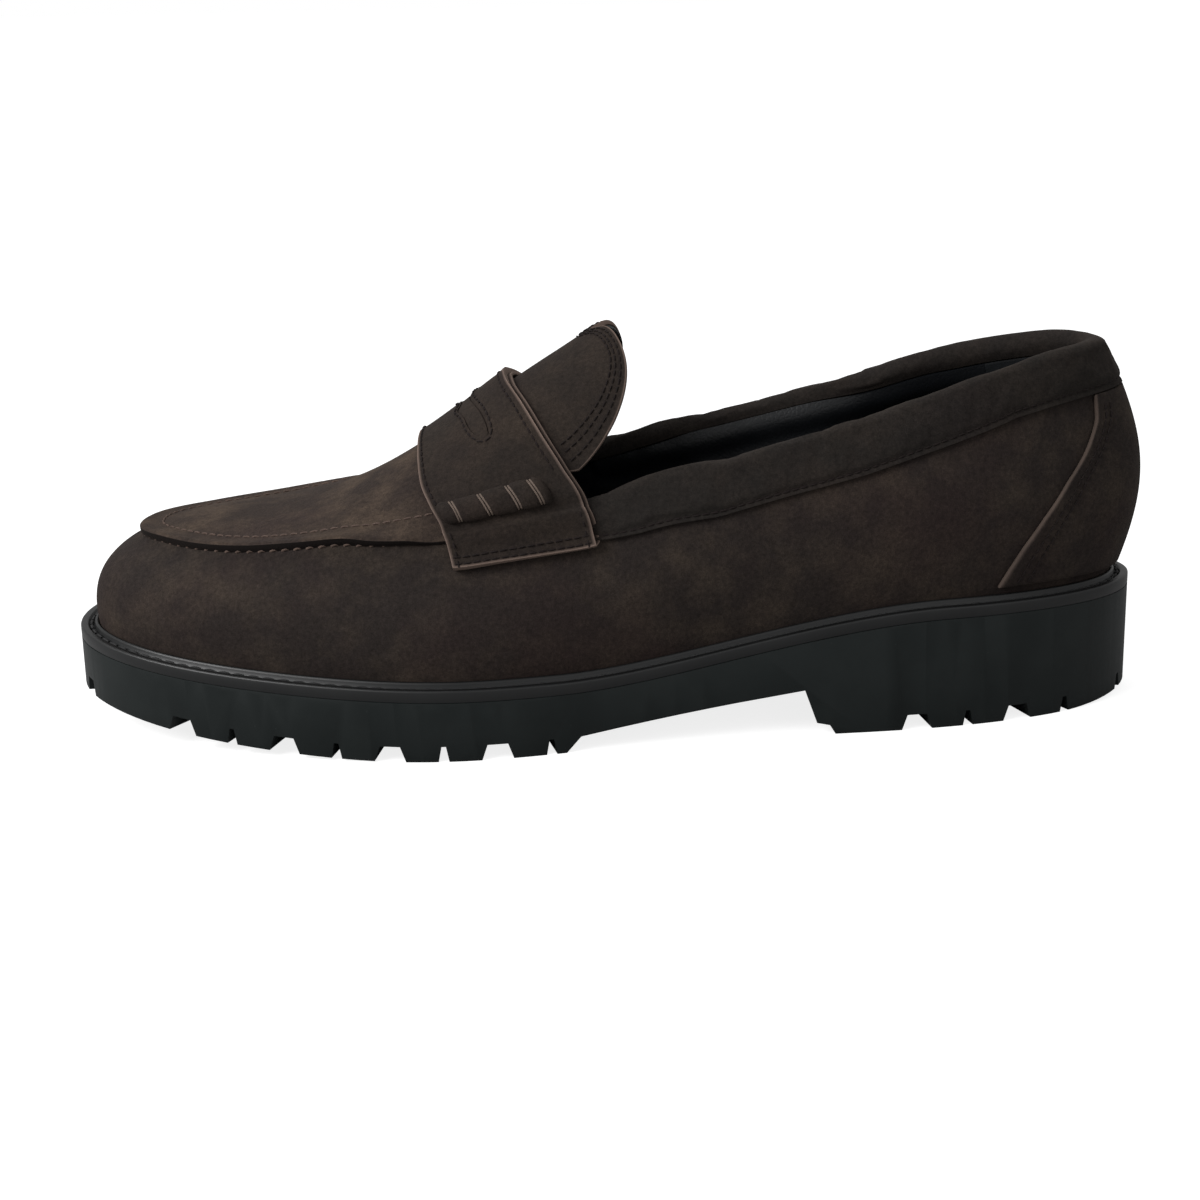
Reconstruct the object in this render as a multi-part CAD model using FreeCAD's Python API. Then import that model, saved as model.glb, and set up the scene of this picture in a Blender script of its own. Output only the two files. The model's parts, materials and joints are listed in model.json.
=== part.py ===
"""Penny loafer for the left foot: nubuck upper with a stitched-on apron, saddle strap and beef rolls,
storm welt and a moulded lug sole with its heel. Millimetres; +X heel to toe, +Y outer side, +Z up.

The upper is drafted like a shoe pattern: a table of stations round the foot at the base size, graded to the
sizes below. Every leather, lining and stiffener is a sheet between two offsets of that one surface.
"""
import FreeCAD
import Part
import math
import os

Vector = FreeCAD.Vector

# ---- driving sizes -------------------------------------------------------------------------------------
SOLE_LENGTH = 305.0
BALL_WIDTH = 109.0
BACK_HEIGHT = 65.4          # rise of the topline above the heel seat, at the back
INSTEP_HEIGHT = 86.0        # rise of the tongue's tip above the forepart seat
HEEL_HEIGHT = 31.2          # ground to the welt's underside at the heel
FORE_THICKNESS = 16.5       # ground to the welt's underside at the ball
TOE_SPRING = 9.5            # lift of the tread at the toe
TOP_TOE_LIFT = 7.0          # lift of the sole's top face at the toe
HEEL_LENGTH = 90.0          # back of the sole to the foot of the heel breast
ARCH_HEIGHT = 13.0          # ground to the waist's underside at the breast

LUG_DEPTH = 4.3
LUG_PITCH = 14.6
WIDE_GAP = 5.8              # between two edge lugs, at their roots
NARROW_GAP = 1.3
WIDE_DRAFT = 0.37           # lean of a lug's side, as growth of the gap per millimetre on each side
NARROW_DRAFT = 0.2
LUG_RIM = 17.0              # how far the edge lugs reach in from the outline
BREAST_STEP = 3.6           # toe-ward set-back of the lug layer's front edge under the heel breast

WELT_WIDTH = 5.5
WELT_THICKNESS = 3.4
BEAD_WIDTH = 1.5
BEAD_HEIGHT = 1.1
GROOVE_WIDTH = 1.9
GROOVE_DEPTH = 0.9
WELT_JOINT = 0.4            # butt joint of the welt strip, at the inner waist

LEATHER = 1.4               # wall, apron, tongue and overlay leather
STIFFENER = 0.8             # toe puff, side interlining and heel counter
LINING = 0.9
GLUE_GAP = 0.18             # clearance between two layers that are cemented together
OVERLAY = 1.2               # collar band and back cover, which lie on the wall
STRAP_LINING = 1.1
STRAP_LEATHER = 1.7
STRAP_DROP = 0.21           # share of the wall that the strap's ends cover
COLLAR_PAD = 2.4            # foam inside the collar
COLLAR_FACING = 0.03        # share of the wall that the collar covers on its inside
PAD_FOOT = 0.80             # share of the wall's height where the collar's foam starts
ROLL_HEIGHT = 2.4           # beef roll
ROLL_MIDDLE = 0.915         # share of the half girth at which the roll lies
ROLL_HALF = 0.062           # half its width, in the same share
ROLL_SHORT = 3.6            # from the roll's rounded end to the strap's rear edge
WRAP_WIDTH = 1.1
THREAD_WIDTH = 0.7
THREAD_HEIGHT = 0.35
THREAD_GAP = 0.25           # between a thread and the leather under it
SEAM_GAP = 0.42             # the same at the apron's seam, where the wall turns sharply
WRAPS = (0.85, 0.63, 0.43, 0.27)    # places of the roll's thread, as shares of the strap's width from its rear
PAD_EASE = 0.25             # slack between the foam and the lining over it
SLOT_SINK = 0.45            # the slot's backing lies this far below the strap's face
LIP_HEIGHT = 1.2            # how far the apron's rim stands above its middle
LIP_WIDTH = 7.0
APRON_OVERLAP = 0.8         # apron beyond its seam
APRON_BACK = 34.0           # station of the apron's end, under the strap

INSOLE_THICKNESS = 2.4
SOCK_THICKNESS = 1.0
HEEL_PAD_THICKNESS = 2.4
HEEL_PAD_LENGTH = 78.0
SHANK_WIDTH = 14.0
SHANK_LENGTH = 104.0
SHANK_THICKNESS = 1.2
CAVITY_INSET = 9.4          # outline of the sole to the plates inside the upper

TONGUE_SINK = 0.55          # how far the tongue lies below the apron's level, to clear the strap
TONGUE_TAB = 6.4            # tuck of the tongue's root under the strap
TONGUE_CLEARANCE = 1.2      # between the tongue's sides and the strap's rear edge
HINGE_DEPTH = 3.0           # flex axis below the instep surface
HINGE_BACK = 2.0            # flex axis behind the strap's rear edge

# ---- the base pattern, drafted at these sizes ----------------------------------------------------------
BASE_LENGTH = 305.0
BASE_WIDTH = 109.0
BASE_BACK = 65.4
BASE_INSTEP = 86.0
GRADE_X = SOLE_LENGTH / BASE_LENGTH
GRADE_Y = BALL_WIDTH / BASE_WIDTH
GRADE_BACK = BACK_HEIGHT / BASE_BACK
GRADE_INSTEP = INSTEP_HEIGHT / BASE_INSTEP

# one row per station, from the back seam round the outer side to the toe and home along the inner side:
# sole outline x, y; top edge x, y; rise of the top edge (0: it lies on the instep surface);
# outward lean at the feather edge and inward lean at the top, in degrees
STATIONS = [
    (-152.5, 0.0, -142.0, 0.0, 65.4, 20, 26),
    (-147.0, 14.5, -137.5, 10.5, 65.3, 18, 24),
    (-131.0, 27.0, -122.0, 19.5, 63.0, 15, 22),
    (-104.0, 36.5, -100.0, 26.0, 57.6, 12, 22),
    (-70.0, 41.2, -70.0, 30.0, 50.8, 10, 23),
    (-34.0, 43.5, -35.0, 32.5, 48.1, 10, 25),
    (0.0, 48.6, 2.0, 34.0, 0, 10, 27),
    (30.0, 54.6, 28.0, 36.0, 0, 10, 30),
    (58.0, 55.0, 55.0, 35.5, 0, 10, 40),
    (88.0, 49.3, 83.0, 32.5, 0, 10, 48),
    (116.0, 40.0, 106.0, 24.5, 0, 10, 58),
    (137.0, 27.0, 121.5, 13.5, 0, 9, 66),
    (149.5, 11.0, 130.0, 3.5, 0, 9, 70),
    (152.5, -6.0, 132.0, -6.0, 0, 9, 70),
    (149.0, -22.5, 130.0, -15.5, 0, 9, 70),
    (138.0, -35.0, 122.0, -24.5, 0, 9, 66),
    (116.0, -45.3, 106.0, -31.5, 0, 10, 58),
    (86.0, -52.0, 83.0, -35.5, 0, 10, 48),
    (56.0, -54.0, 55.0, -36.5, 0, 10, 40),
    (26.0, -49.5, 28.0, -36.5, 0, 8, 30),
    (-4.0, -41.5, 2.0, -34.5, 0, 6, 27),
    (-37.0, -36.0, -37.0, -32.5, 47.3, 6, 24),
    (-71.0, -35.0, -70.0, -30.5, 50.0, 8, 22),
    (-104.0, -34.5, -100.0, -26.0, 58.3, 12, 22),
    (-130.0, -26.5, -122.0, -19.5, 63.0, 15, 22),
    (-146.5, -14.0, -137.5, -10.5, 65.2, 18, 24),
]
COUNT = len(STATIONS)
SPARE = 4                   # rows of points beyond both ends of a sheet
TOE = 13                    # the station at the tip of the toe
OUTER_MOUTH = 6             # where the topline meets the strap, outer and inner side
INNER_MOUTH = 20
# strap edges: share of the half girth, 0 at the ridge and 1 at the seam, then front and rear edge stations
STRAP_EDGES = [(0.0, 49.3, 24.6), (0.25, 49.4, 23.4), (0.5, 49.3, 19.8), (0.7, 48.6, 15.6),
               (0.85, 46.5, 11.0), (1.0, 43.6, 5.6), (1.5, 41.3, 2.5)]
# penny slot, right half: rear edge outwards from the ridge, then the front edge home
SLOT = [(34.3, 0.0), (33.2, 6.5), (30.6, 14.0), (29.0, 20.5), (30.4, 21.6), (32.6, 20.0), (34.8, 16.5),
        (35.8, 11.5), (36.9, 8.2), (38.0, 5.0), (37.0, 2.2), (36.6, 0.0)]
# tongue's free edge: distance from the centre line, station
TONGUE_EDGE = [(0.0, 1.5), (5.0, -2.2), (11.5, -5.4), (17.3, -7.1), (21.3, -6.5), (24.8, -3.9), (27.4, -0.1),
               (29.3, 4.0), (30.3, 6.8)]
# collar seam and front edge of the back cover on the wall: station number, share of the wall's height
COLLAR_SEAM = [(0.0, 0.856), (1.4, 0.856), (2.6, 0.853), (3.35, 0.806), (4.0, 0.78), (4.55, 0.778),
               (5.13, 0.77), (5.7, 0.79), (6.1, 0.832)]
COVER_EDGE = [(0.0, 2.88), (0.21, 2.61), (0.345, 2.40), (0.5, 2.12), (0.635, 1.79),
              (0.75, 1.53), (0.865, 1.4)]
# instep ridge: station, rise above the forepart seat, and the length whose square root sets the arch
RIDGE = [(150, 25.0, 160), (132, 31.8, 160), (115, 34.8, 200), (92, 37.6, 280), (76, 41.6, 215),
         (65, 46.4, 127), (53, 53.0, 82), (40, 61.5, 58), (27, 71.0, 44), (9, 82.5, 31.5), (-5, 90.5, 26.5), (-30, 102.0, 24)]
CENTRE_LINE = [(-155, 0.0), (-60, 1.5), (0, -0.5), (60, -1.5), (110, -4.5), (150, -6.0)]


# ---- small curve tools ---------------------------------------------------------------------------------
def smooth(t):
    t = min(max(t, 0.0), 1.0)
    return t * t * (3 - 2 * t)


def settle(points, closed):
    """Control points of a uniform cubic spline that passes through the points."""
    count = len(points)
    controls = [list(p) for p in points]
    for _ in range(30):
        moved = []
        for i in range(count):
            before, after = neighbours(controls, i, closed)
            moved.append([c + p - (a + 4 * c + b) / 6 for a, c, b, p in
                          zip(before, controls[i], after, points[i])])
        controls = moved
    return controls


def neighbours(controls, i, closed):
    count = len(controls)
    if closed:
        return controls[i - 1], controls[(i + 1) % count]
    before = controls[i - 1] if i else [2 * a - b for a, b in zip(controls[0], controls[1])]
    after = controls[i + 1] if i < count - 1 else [2 * a - b for a, b in zip(controls[-1], controls[-2])]
    return before, after


def spline_at(controls, u, closed):
    count = len(controls)
    if closed:
        u %= count
    else:
        u = min(max(u, 0.0), count - 1.000001)
    i = int(u)
    f = u - i
    before, after = neighbours(controls, i, closed)
    far = neighbours(controls, (i + 1) % count, closed)[1]
    weights = ((1 - f) ** 3 / 6, (3 * f ** 3 - 6 * f * f + 4) / 6,
               (-3 * f ** 3 + 3 * f * f + 3 * f + 1) / 6, f ** 3 / 6)
    return [sum(w * k for w, k in zip(weights, column))
            for column in zip(before, controls[i], after, far)]


def profile(table, column, grade=1.0):
    """Smooth value against x through a table of (x, value, ...) rows, linear beyond its ends."""
    rows = sorted((row[0] * GRADE_X, row[column] * grade) for row in table)
    xs = [row[0] for row in rows]
    ys = [row[1] for row in rows]
    slopes = []
    for i in range(len(rows)):
        low, high = max(i - 1, 0), min(i + 1, len(rows) - 1)
        slopes.append((ys[high] - ys[low]) / (xs[high] - xs[low]))

    def value(x):
        if x <= xs[0]:
            return ys[0] + slopes[0] * (x - xs[0])
        if x >= xs[-1]:
            return ys[-1] + slopes[-1] * (x - xs[-1])
        i = max(k for k in range(len(xs) - 1) if xs[k] <= x)
        span = xs[i + 1] - xs[i]
        t = (x - xs[i]) / span
        return ((2 * t ** 3 - 3 * t * t + 1) * ys[i] + (t ** 3 - 2 * t * t + t) * span * slopes[i]
                + (3 * t * t - 2 * t ** 3) * ys[i + 1] + (t ** 3 - t * t) * span * slopes[i + 1])
    return value


# ---- heights along the shoe ----------------------------------------------------------------------------
HEEL_BACK = -SOLE_LENGTH / 2
TOE_TIP = SOLE_LENGTH / 2
BREAST_FOOT = HEEL_BACK + HEEL_LENGTH
BREAST_TOP = BREAST_FOOT + 8.6
WAIST_END = 8.0 * GRADE_X
FLAT_END = 50.0 * GRADE_X
BACK_BEVEL = 27.5           # length of the lifted back edge of the tread
BACK_LIFT = 2.5
HEEL_SEAT_FRONT = -95.0 * GRADE_X
FORE_SEAT_BACK = 15.0 * GRADE_X
LIFT_START = 35.0 * GRADE_X


def sole_top(x):
    """Height of the outsole's top face, which is the welt's underside."""
    seat = smooth((FORE_SEAT_BACK - x) / (FORE_SEAT_BACK - HEEL_SEAT_FRONT))
    toe = max(x - LIFT_START, 0.0) / (TOE_TIP - LIFT_START)
    return FORE_THICKNESS + (HEEL_HEIGHT - FORE_THICKNESS) * seat + TOP_TOE_LIFT * toe ** 1.8


def seat(x):
    """Height of the feather edge, where the upper meets the welt."""
    return sole_top(x) + WELT_THICKNESS


def ground(x):
    """Height of the lugs' feet."""
    toe = max(x - FLAT_END, 0.0) / (TOE_TIP - FLAT_END)
    back = max(HEEL_BACK + BACK_BEVEL - x, 0.0) / BACK_BEVEL
    return TOE_SPRING * toe ** 1.8 + BACK_LIFT * back * back


ridge_rise = profile(RIDGE, 1, GRADE_INSTEP)
arch = profile(RIDGE, 2, GRADE_Y * GRADE_Y / GRADE_INSTEP)
centre = profile(CENTRE_LINE, 1, GRADE_Y)
FORE_SEAT = FORE_THICKNESS + WELT_THICKNESS


def instep(x, y):
    """Height of the instep surface, over which the apron, strap and tongue lie."""
    return FORE_SEAT + ridge_rise(x) - (y - centre(x)) ** 2 / max(arch(x), 8.0)


# ---- rings round the shoe ------------------------------------------------------------------------------
outline_controls = settle([(s[0] * GRADE_X, s[1] * GRADE_Y) for s in STATIONS], True)
top_controls = settle([(s[2] * GRADE_X, s[3] * GRADE_Y) for s in STATIONS], True)
lean_controls = settle([(s[5], s[6]) for s in STATIONS], True)


def outline(u, inset=0.0):
    """Plan point of the sole's outline at station u, moved inwards by inset."""
    x, y = spline_at(outline_controls, u, True)
    ahead = spline_at(outline_controls, u + 0.02, True)
    behind = spline_at(outline_controls, u - 0.02, True)
    dx, dy = ahead[0] - behind[0], ahead[1] - behind[1]
    size = math.hypot(dx, dy)
    return x + dy / size * inset, y - dx / size * inset


def top_edge(u):
    """Point of the upper's top edge: the apron seam in front, the topline behind."""
    u %= COUNT
    x, y = spline_at(top_controls, u, True)
    on_instep = instep(x, y)
    if OUTER_MOUTH <= u <= INNER_MOUTH:
        return Vector(x, y, on_instep)
    from_mouth = OUTER_MOUTH - u if u < OUTER_MOUTH else u - INNER_MOUTH
    on_topline = seat(x) + topline_rise(u)
    blend = smooth(from_mouth)
    return Vector(x, y, on_instep * (1 - blend) + on_topline * blend)


def topline_rise(u):
    rows = [s[4] for s in STATIONS]
    i = int(u) % COUNT
    f = u - int(u)
    values = [rows[(i + k) % COUNT] for k in (-1, 0, 1, 2)]
    values = [v if v else 46.0 for v in values]
    a, b, c, d = values
    return GRADE_BACK * 0.5 * (2 * b + (c - a) * f + (2 * a - 5 * b + 4 * c - d) * f * f
                               + (3 * b - a - 3 * c + d) * f ** 3)


def wall_point(u, t):
    """The wall's outer face: t 0 at the feather edge, 1 at the top edge."""
    x, y = outline(u, WELT_WIDTH)
    low = Vector(x, y, seat(x))
    edge_x, edge_y = outline(u, 0.0)
    out = Vector(edge_x - x, edge_y - y, 0)
    out.normalize()
    high = top_edge(u)
    lean_low, lean_high = [math.radians(a) for a in spline_at(lean_controls, u, True)]
    handle = 0.45 * (high - low).Length
    inward = Vector(high.x - low.x, high.y - low.y, 0)
    inward = inward.normalize() if inward.Length > 1e-6 else out * -1
    up = Vector(0, 0, 1)
    first = low + (out * math.sin(lean_low) + up * math.cos(lean_low)) * handle
    second = high - (inward * math.sin(lean_high) + up * math.cos(lean_high)) * handle
    s = 1 - t
    return low * s ** 3 + first * (3 * s * s * t) + second * (3 * s * t * t) + high * t ** 3


def wall(u, t, off=0.0):
    """The wall's face moved outwards by off."""
    p = wall_point(u, t)
    along = wall_point(u + 0.03, t) - wall_point(u - 0.03, t)
    step = 0.02
    up = wall_point(u, min(t + step, 1)) - wall_point(u, max(t - step, 0))
    normal = along.cross(up) * -1
    normal.normalize()
    return p + normal * off


def crown(x, y, off=0.0):
    """The instep surface moved outwards by off."""
    step = 0.4
    slope_x = (instep(x + step, y) - instep(x - step, y)) / (2 * step)
    slope_y = (instep(x, y + step) - instep(x, y - step)) / (2 * step)
    normal = Vector(-slope_x, -slope_y, 1)
    normal.normalize()
    return Vector(x, y, instep(x, y)) + normal * off


# ---- solids --------------------------------------------------------------------------------------------
def face_through(grid, spare=0):
    """Surface through a grid of points, less the spare rows that only steady its two ends."""
    surface = Part.BSplineSurface()
    surface.interpolate(grid)
    if spare:
        knots = surface.getUKnots()
        v0, v1 = surface.bounds()[2:]
        surface.segment(knots[spare], knots[-1 - spare], v0, v1)
    return surface


def slab(inner, outer, spare=0):
    """Solid between two grids of points of the same size, with ruled edges all round."""
    low, high = face_through(inner, spare), face_through(outer, spare)
    faces = [low.toShape(), high.toShape()]
    u0, u1, v0, v1 = low.bounds()
    a0, a1, b0, b1 = high.bounds()
    for iso_low, iso_high in ((low.uIso(u0), high.uIso(a0)), (low.uIso(u1), high.uIso(a1)),
                              (low.vIso(v0), high.vIso(b0)), (low.vIso(v1), high.vIso(b1))):
        faces.append(Part.makeRuledSurface(iso_low.toShape(), iso_high.toShape(), 1))
    shell = Part.makeShell(faces)
    shell.sewShape()
    solid = Part.makeSolid(Part.Shell(shell.Faces))
    if solid.Volume < 0:
        solid.reverse()
    return solid


def steps(start, end, count, spare=0):
    """Even steps from start to end, and spare ones beyond both."""
    return [start + (end - start) * i / (count - 1) for i in range(-spare, count + spare)]


def wall_sheet(u0, u1, t0, t1, off_in, off_out, count_u=60, count_t=9):
    """Sheet on the wall between two offsets, which may be functions of u and t."""
    grids = []
    for off in (off_in, off_out):
        depth = off if callable(off) else (lambda u, t, flat=off: flat)
        grids.append([[wall(u, t, depth(u, t)) for t in steps(t0, t1, count_t)]
                      for u in steps(u0, u1, count_u, SPARE)])
    return slab(*grids, SPARE)


def crown_sheet(x0, x1, half_width, off_in, off_out, count_x=34, count_y=17):
    """Sheet on the instep surface. The offsets may be functions of x and y."""
    inner = off_in if callable(off_in) else (lambda x, y: off_in)
    outer = off_out if callable(off_out) else (lambda x, y: off_out)
    grids = []
    for off in (inner, outer):
        grid = []
        for x in steps(x0, x1, count_x):
            row = [centre(x) + w * half_width for w in steps(-1.0, 1.0, count_y)]
            grid.append([crown(x, y, off(x, y)) for y in row])
        grids.append(grid)
    return slab(*grids)


def closed_prism(points, low=-20.0, high=160.0):
    """Upright prism through a closed plan curve."""
    curve = Part.BSplineCurve()
    curve.interpolate(Points=[Vector(x, y, low) for x, y in points], PeriodicFlag=True)
    face = Part.Face(Part.Wire(curve.toShape()))
    return face.extrude(Vector(0, 0, high - low))


def outline_prism(inset):
    return closed_prism([outline(u, inset) for u in steps(0, COUNT, 105)[:-1]])


def side_profile(low, high, x0=None, x1=None, count=40):
    """Solid between two height functions of x, as wide as the shoe."""
    x0 = HEEL_BACK - 5 if x0 is None else x0
    x1 = TOE_TIP + 5 if x1 is None else x1
    xs = steps(x0, x1, count)
    half = BALL_WIDTH
    edges = []
    for height in (low, high):
        curve = Part.BSplineCurve()
        curve.interpolate([Vector(x, -half, height(x)) for x in xs])
        edges.append(curve.toShape())
    for x in (x0, x1):
        edges.append(Part.makeLine(Vector(x, -half, low(x)), Vector(x, -half, high(x))))
    wire = Part.Wire(Part.__sortEdges__(edges))
    return Part.Face(wire).extrude(Vector(0, 2 * half, 0))


def plate(inset, low, high, x0=None, x1=None):
    """Plate of the sole's outline between two height functions."""
    return outline_prism(inset).common(side_profile(low, high, x0, x1))


def polygon_prism(points, low=-20.0, high=160.0):
    wire = Part.makePolygon([Vector(x, y, low) for x, y in points] + [Vector(*points[0], low)])
    return Part.Face(wire).extrude(Vector(0, 0, high - low))


# ---- the sole ------------------------------------------------------------------------------------------
def tread_profile():
    """Side outline of the whole sole unit, lugs at full depth, as a face in the XZ plane."""
    half = -BALL_WIDTH
    start_back = HEEL_BACK + BACK_BEVEL
    back_x = HEEL_BACK - 5
    front_x = TOE_TIP + 5

    def curve(height, x0, x1, count):
        line = Part.BSplineCurve()
        line.interpolate([Vector(x, half, height(x)) for x in steps(x0, x1, count)])
        return line.toShape()

    def line(x0, z0, x1, z1):
        return Part.makeLine(Vector(x0, half, z0), Vector(x1, half, z1))

    step_x = BREAST_FOOT + BREAST_STEP
    edges = [
        curve(ground, back_x, start_back, 8),
        line(start_back, 0, BREAST_FOOT, 0),
        line(BREAST_FOOT, 0, BREAST_FOOT + 1.6, 2.6),
        line(BREAST_FOOT + 1.6, 2.6, step_x + 1.6, 3.4),
        line(step_x + 1.6, 3.4, BREAST_TOP, ARCH_HEIGHT),
        line(BREAST_TOP, ARCH_HEIGHT, WAIST_END, LUG_DEPTH),
        line(WAIST_END, LUG_DEPTH, WAIST_END + 4.0, 0),
        line(WAIST_END + 4.0, 0, FLAT_END, 0),
        curve(ground, FLAT_END, front_x, 16),
        line(front_x, ground(front_x), front_x, sole_top(front_x)),
        curve(sole_top, back_x, front_x, 60),
        line(back_x, ground(back_x), back_x, sole_top(back_x)),
    ]
    return Part.Face(Part.Wire(Part.__sortEdges__(edges)))


def station_at(x, outer, inset=0.0):
    """Station where the outline has this x, on the outer or the inner side."""
    low, high = (0.0, float(TOE)) if outer else (float(COUNT), float(TOE))
    for _ in range(30):
        middle = (low + high) / 2
        if outline(middle, inset)[0] < x:
            low = middle
        else:
            high = middle
    return (low + high) / 2


def drafted_gap(u, width, draft):
    """Gap that parts two edge lugs at a station, square to the outline; it widens towards the ground."""
    edge, inner = outline(u, -6.0), outline(u, LUG_RIM + 1.0)
    dx, dy = inner[0] - edge[0], inner[1] - edge[1]
    size = math.hypot(dx, dy)
    nx, ny = -dy / size, dx / size
    foot = ground(outline(u, 0.0)[0])
    low = min(ground(edge[0]), ground(inner[0])) - 1.5
    high = max(ground(edge[0]), ground(inner[0])) + LUG_DEPTH + 0.6
    wires = []
    for z in (low, high):
        half = width / 2 + draft * (foot + LUG_DEPTH - z)
        inner_half = half * 0.85
        corners = [(edge[0] + nx * half, edge[1] + ny * half),
                   (inner[0] + nx * inner_half, inner[1] + ny * inner_half),
                   (inner[0] - nx * inner_half, inner[1] - ny * inner_half),
                   (edge[0] - nx * half, edge[1] - ny * half)]
        ring = [Vector(x, y, z) for x, y in corners]
        wires.append(Part.makePolygon(ring + ring[:1]))
    return Part.makeLoft(wires, True, True)


def cross_lug(x, y, arm, width):
    """Plus-shaped centre lug."""
    long_way = Part.makeBox(2 * arm, width, 45, Vector(x - arm, y - width / 2, -5))
    return long_way.fuse(Part.makeBox(width, 2 * arm, 45, Vector(x - width / 2, y - arm, -5)))


def gap_stations():
    """Lug gaps along the sides: (x, wide or narrow), forepart then heel."""
    rows = []
    x, wide = WAIST_END + 8.0, False
    while x < TOE_TIP - 30.0 * GRADE_X:
        rows.append((x, wide))
        x, wide = x + LUG_PITCH, not wide
    x, wide = BREAST_FOOT - 23.0, True
    while x > HEEL_BACK + 16.0:
        rows.append((x, wide))
        x, wide = x - LUG_PITCH, not wide
    return rows


def lug_gaps():
    """Everything that the tread lacks between its edge lugs."""
    gaps = []
    for x, wide in gap_stations():
        for outer in (True, False):
            gaps.append(drafted_gap(station_at(x, outer), WIDE_GAP if wide else NARROW_GAP,
                                    WIDE_DRAFT if wide else NARROW_DRAFT))
    for k in (-2, -1, 0, 1, 2):
        gaps.append(drafted_gap(TOE + 0.05 + k * 0.62, NARROW_GAP if k % 2 else WIDE_GAP * 0.7, NARROW_DRAFT))
    for u in (0.0, 0.9, COUNT - 0.9):
        gaps.append(drafted_gap(u, NARROW_GAP, NARROW_DRAFT))
    return gaps


def centre_field():
    """The space inside the edge lugs, less its cross lugs, for the forepart and the heel."""
    field = outline_prism(LUG_RIM).common(Part.makeBox(SOLE_LENGTH, 2 * BALL_WIDTH, 50,
                                                       Vector(HEEL_BACK, -BALL_WIDTH, -5)))
    crosses = []
    x, k = WAIST_END + 16.0, 0
    while x < TOE_TIP - 36.0 * GRADE_X:
        spread = 13.5 if k % 2 else 0.0
        for y in ([-spread, spread] if spread else [0.0]):
            crosses.append(cross_lug(x, centre(x) + y, 6.2, 4.4))
        x, k = x + LUG_PITCH * 0.92, k + 1
    x = BREAST_FOOT - 15.0
    while x > HEEL_BACK + 30.0:
        crosses.append(cross_lug(x, centre(x), 7.5, 5.0))
        x -= LUG_PITCH * 1.25
    return field.cut(crosses)


def lug_root():
    """Height function of the surface that the lugs stand on."""
    return lambda x: ground(x) + LUG_DEPTH


def make_outsole():
    unit = outline_prism(0.0).common(tread_profile().extrude(Vector(0, 2 * BALL_WIDTH, 0)))
    gaps = lug_gaps() + [centre_field()]
    below = side_profile(lambda x: -10.0, lug_root())
    tool = gaps[0].multiFuse(gaps[1:]).common(below)
    return unit.cut(tool)


def make_welt():
    """Storm welt: a strip with a bead against the upper and a groove for its stitches."""
    joint = WELT_JOINT / 30.0
    start, end = 21.0 + joint, 21.0 + COUNT - joint
    section = [(0.0, 0.0), (0.0, WELT_THICKNESS), (WELT_WIDTH - BEAD_WIDTH - GROOVE_WIDTH, WELT_THICKNESS),
               (WELT_WIDTH - BEAD_WIDTH - GROOVE_WIDTH * 0.8, WELT_THICKNESS - GROOVE_DEPTH),
               (WELT_WIDTH - BEAD_WIDTH - GROOVE_WIDTH * 0.2, WELT_THICKNESS - GROOVE_DEPTH),
               (WELT_WIDTH - BEAD_WIDTH, WELT_THICKNESS + BEAD_HEIGHT * 0.6),
               (WELT_WIDTH - BEAD_WIDTH * 0.5, WELT_THICKNESS + BEAD_HEIGHT),
               (WELT_WIDTH - 0.2, WELT_THICKNESS),
               (WELT_WIDTH - 0.1, WELT_THICKNESS - 2 * GLUE_GAP),
               (CAVITY_INSET - 0.4, WELT_THICKNESS - 2 * GLUE_GAP), (CAVITY_INSET - 0.4, 0.0)]
    rails = []
    for inset, lift in section:
        points = []
        for u in steps(start, end, 120):
            x, y = outline(u, inset)
            points.append(Vector(x, y, sole_top(x) + GLUE_GAP + lift))
        curve = Part.BSplineCurve()
        curve.interpolate(points)
        rails.append(curve)
    faces = []
    for i, rail in enumerate(rails):
        faces.append(Part.makeRuledSurface(rail.toShape(), rails[(i + 1) % len(rails)].toShape(), 1))
    for ends in ([r.StartPoint for r in rails], [r.EndPoint for r in rails]):
        faces.extend(end_faces(ends))
    shell = Part.makeShell(faces)
    shell.sewShape()
    solid = Part.makeSolid(Part.Shell(shell.Faces))
    if solid.Volume < 0:
        solid.reverse()
    return solid


def end_faces(points):
    """Triangles that close a section, fanned from its first point."""
    faces = []
    for i in range(1, len(points) - 1):
        corners = [points[0], points[i], points[i + 1]]
        faces.append(Part.Face(Part.makePolygon(corners + corners[:1])))
    return faces


# ---- the upper -----------------------------------------------------------------------------------------
def lookup(table, value):
    """Straight interpolation in a two-column table sorted by its first column."""
    if value <= table[0][0]:
        return table[0][1]
    for (a, p), (b, q) in zip(table, table[1:]):
        if value <= b:
            return p + (q - p) * (value - a) / (b - a)
    return table[-1][1]


def station_on_wall(x, t, outer):
    """Station number where the wall at height share t has this x."""
    low, high = (0.5, float(TOE)) if outer else (COUNT - 0.5, float(TOE))
    for _ in range(26):
        middle = (low + high) / 2
        if wall_point(middle, t).x < x:
            low = middle
        else:
            high = middle
    return (low + high) / 2


def saddle(x, v, off):
    """Surface over the instep and down the walls: v is 0 at the ridge and 1 or -1 at the apron seam;
    beyond that it runs down the wall, reaching the strap's lower edge at 1.5 or -1.5."""
    outer = v >= 0
    if abs(v) > 1:
        t = 1 - (abs(v) - 1) * 2 * STRAP_DROP
        return wall(station_on_wall(x, t, outer), t, off)
    seam = top_edge(station_on_wall(x, 1.0, outer))
    middle = centre(x)
    return crown(x, middle + (seam.y - middle) * abs(v), off)


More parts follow.
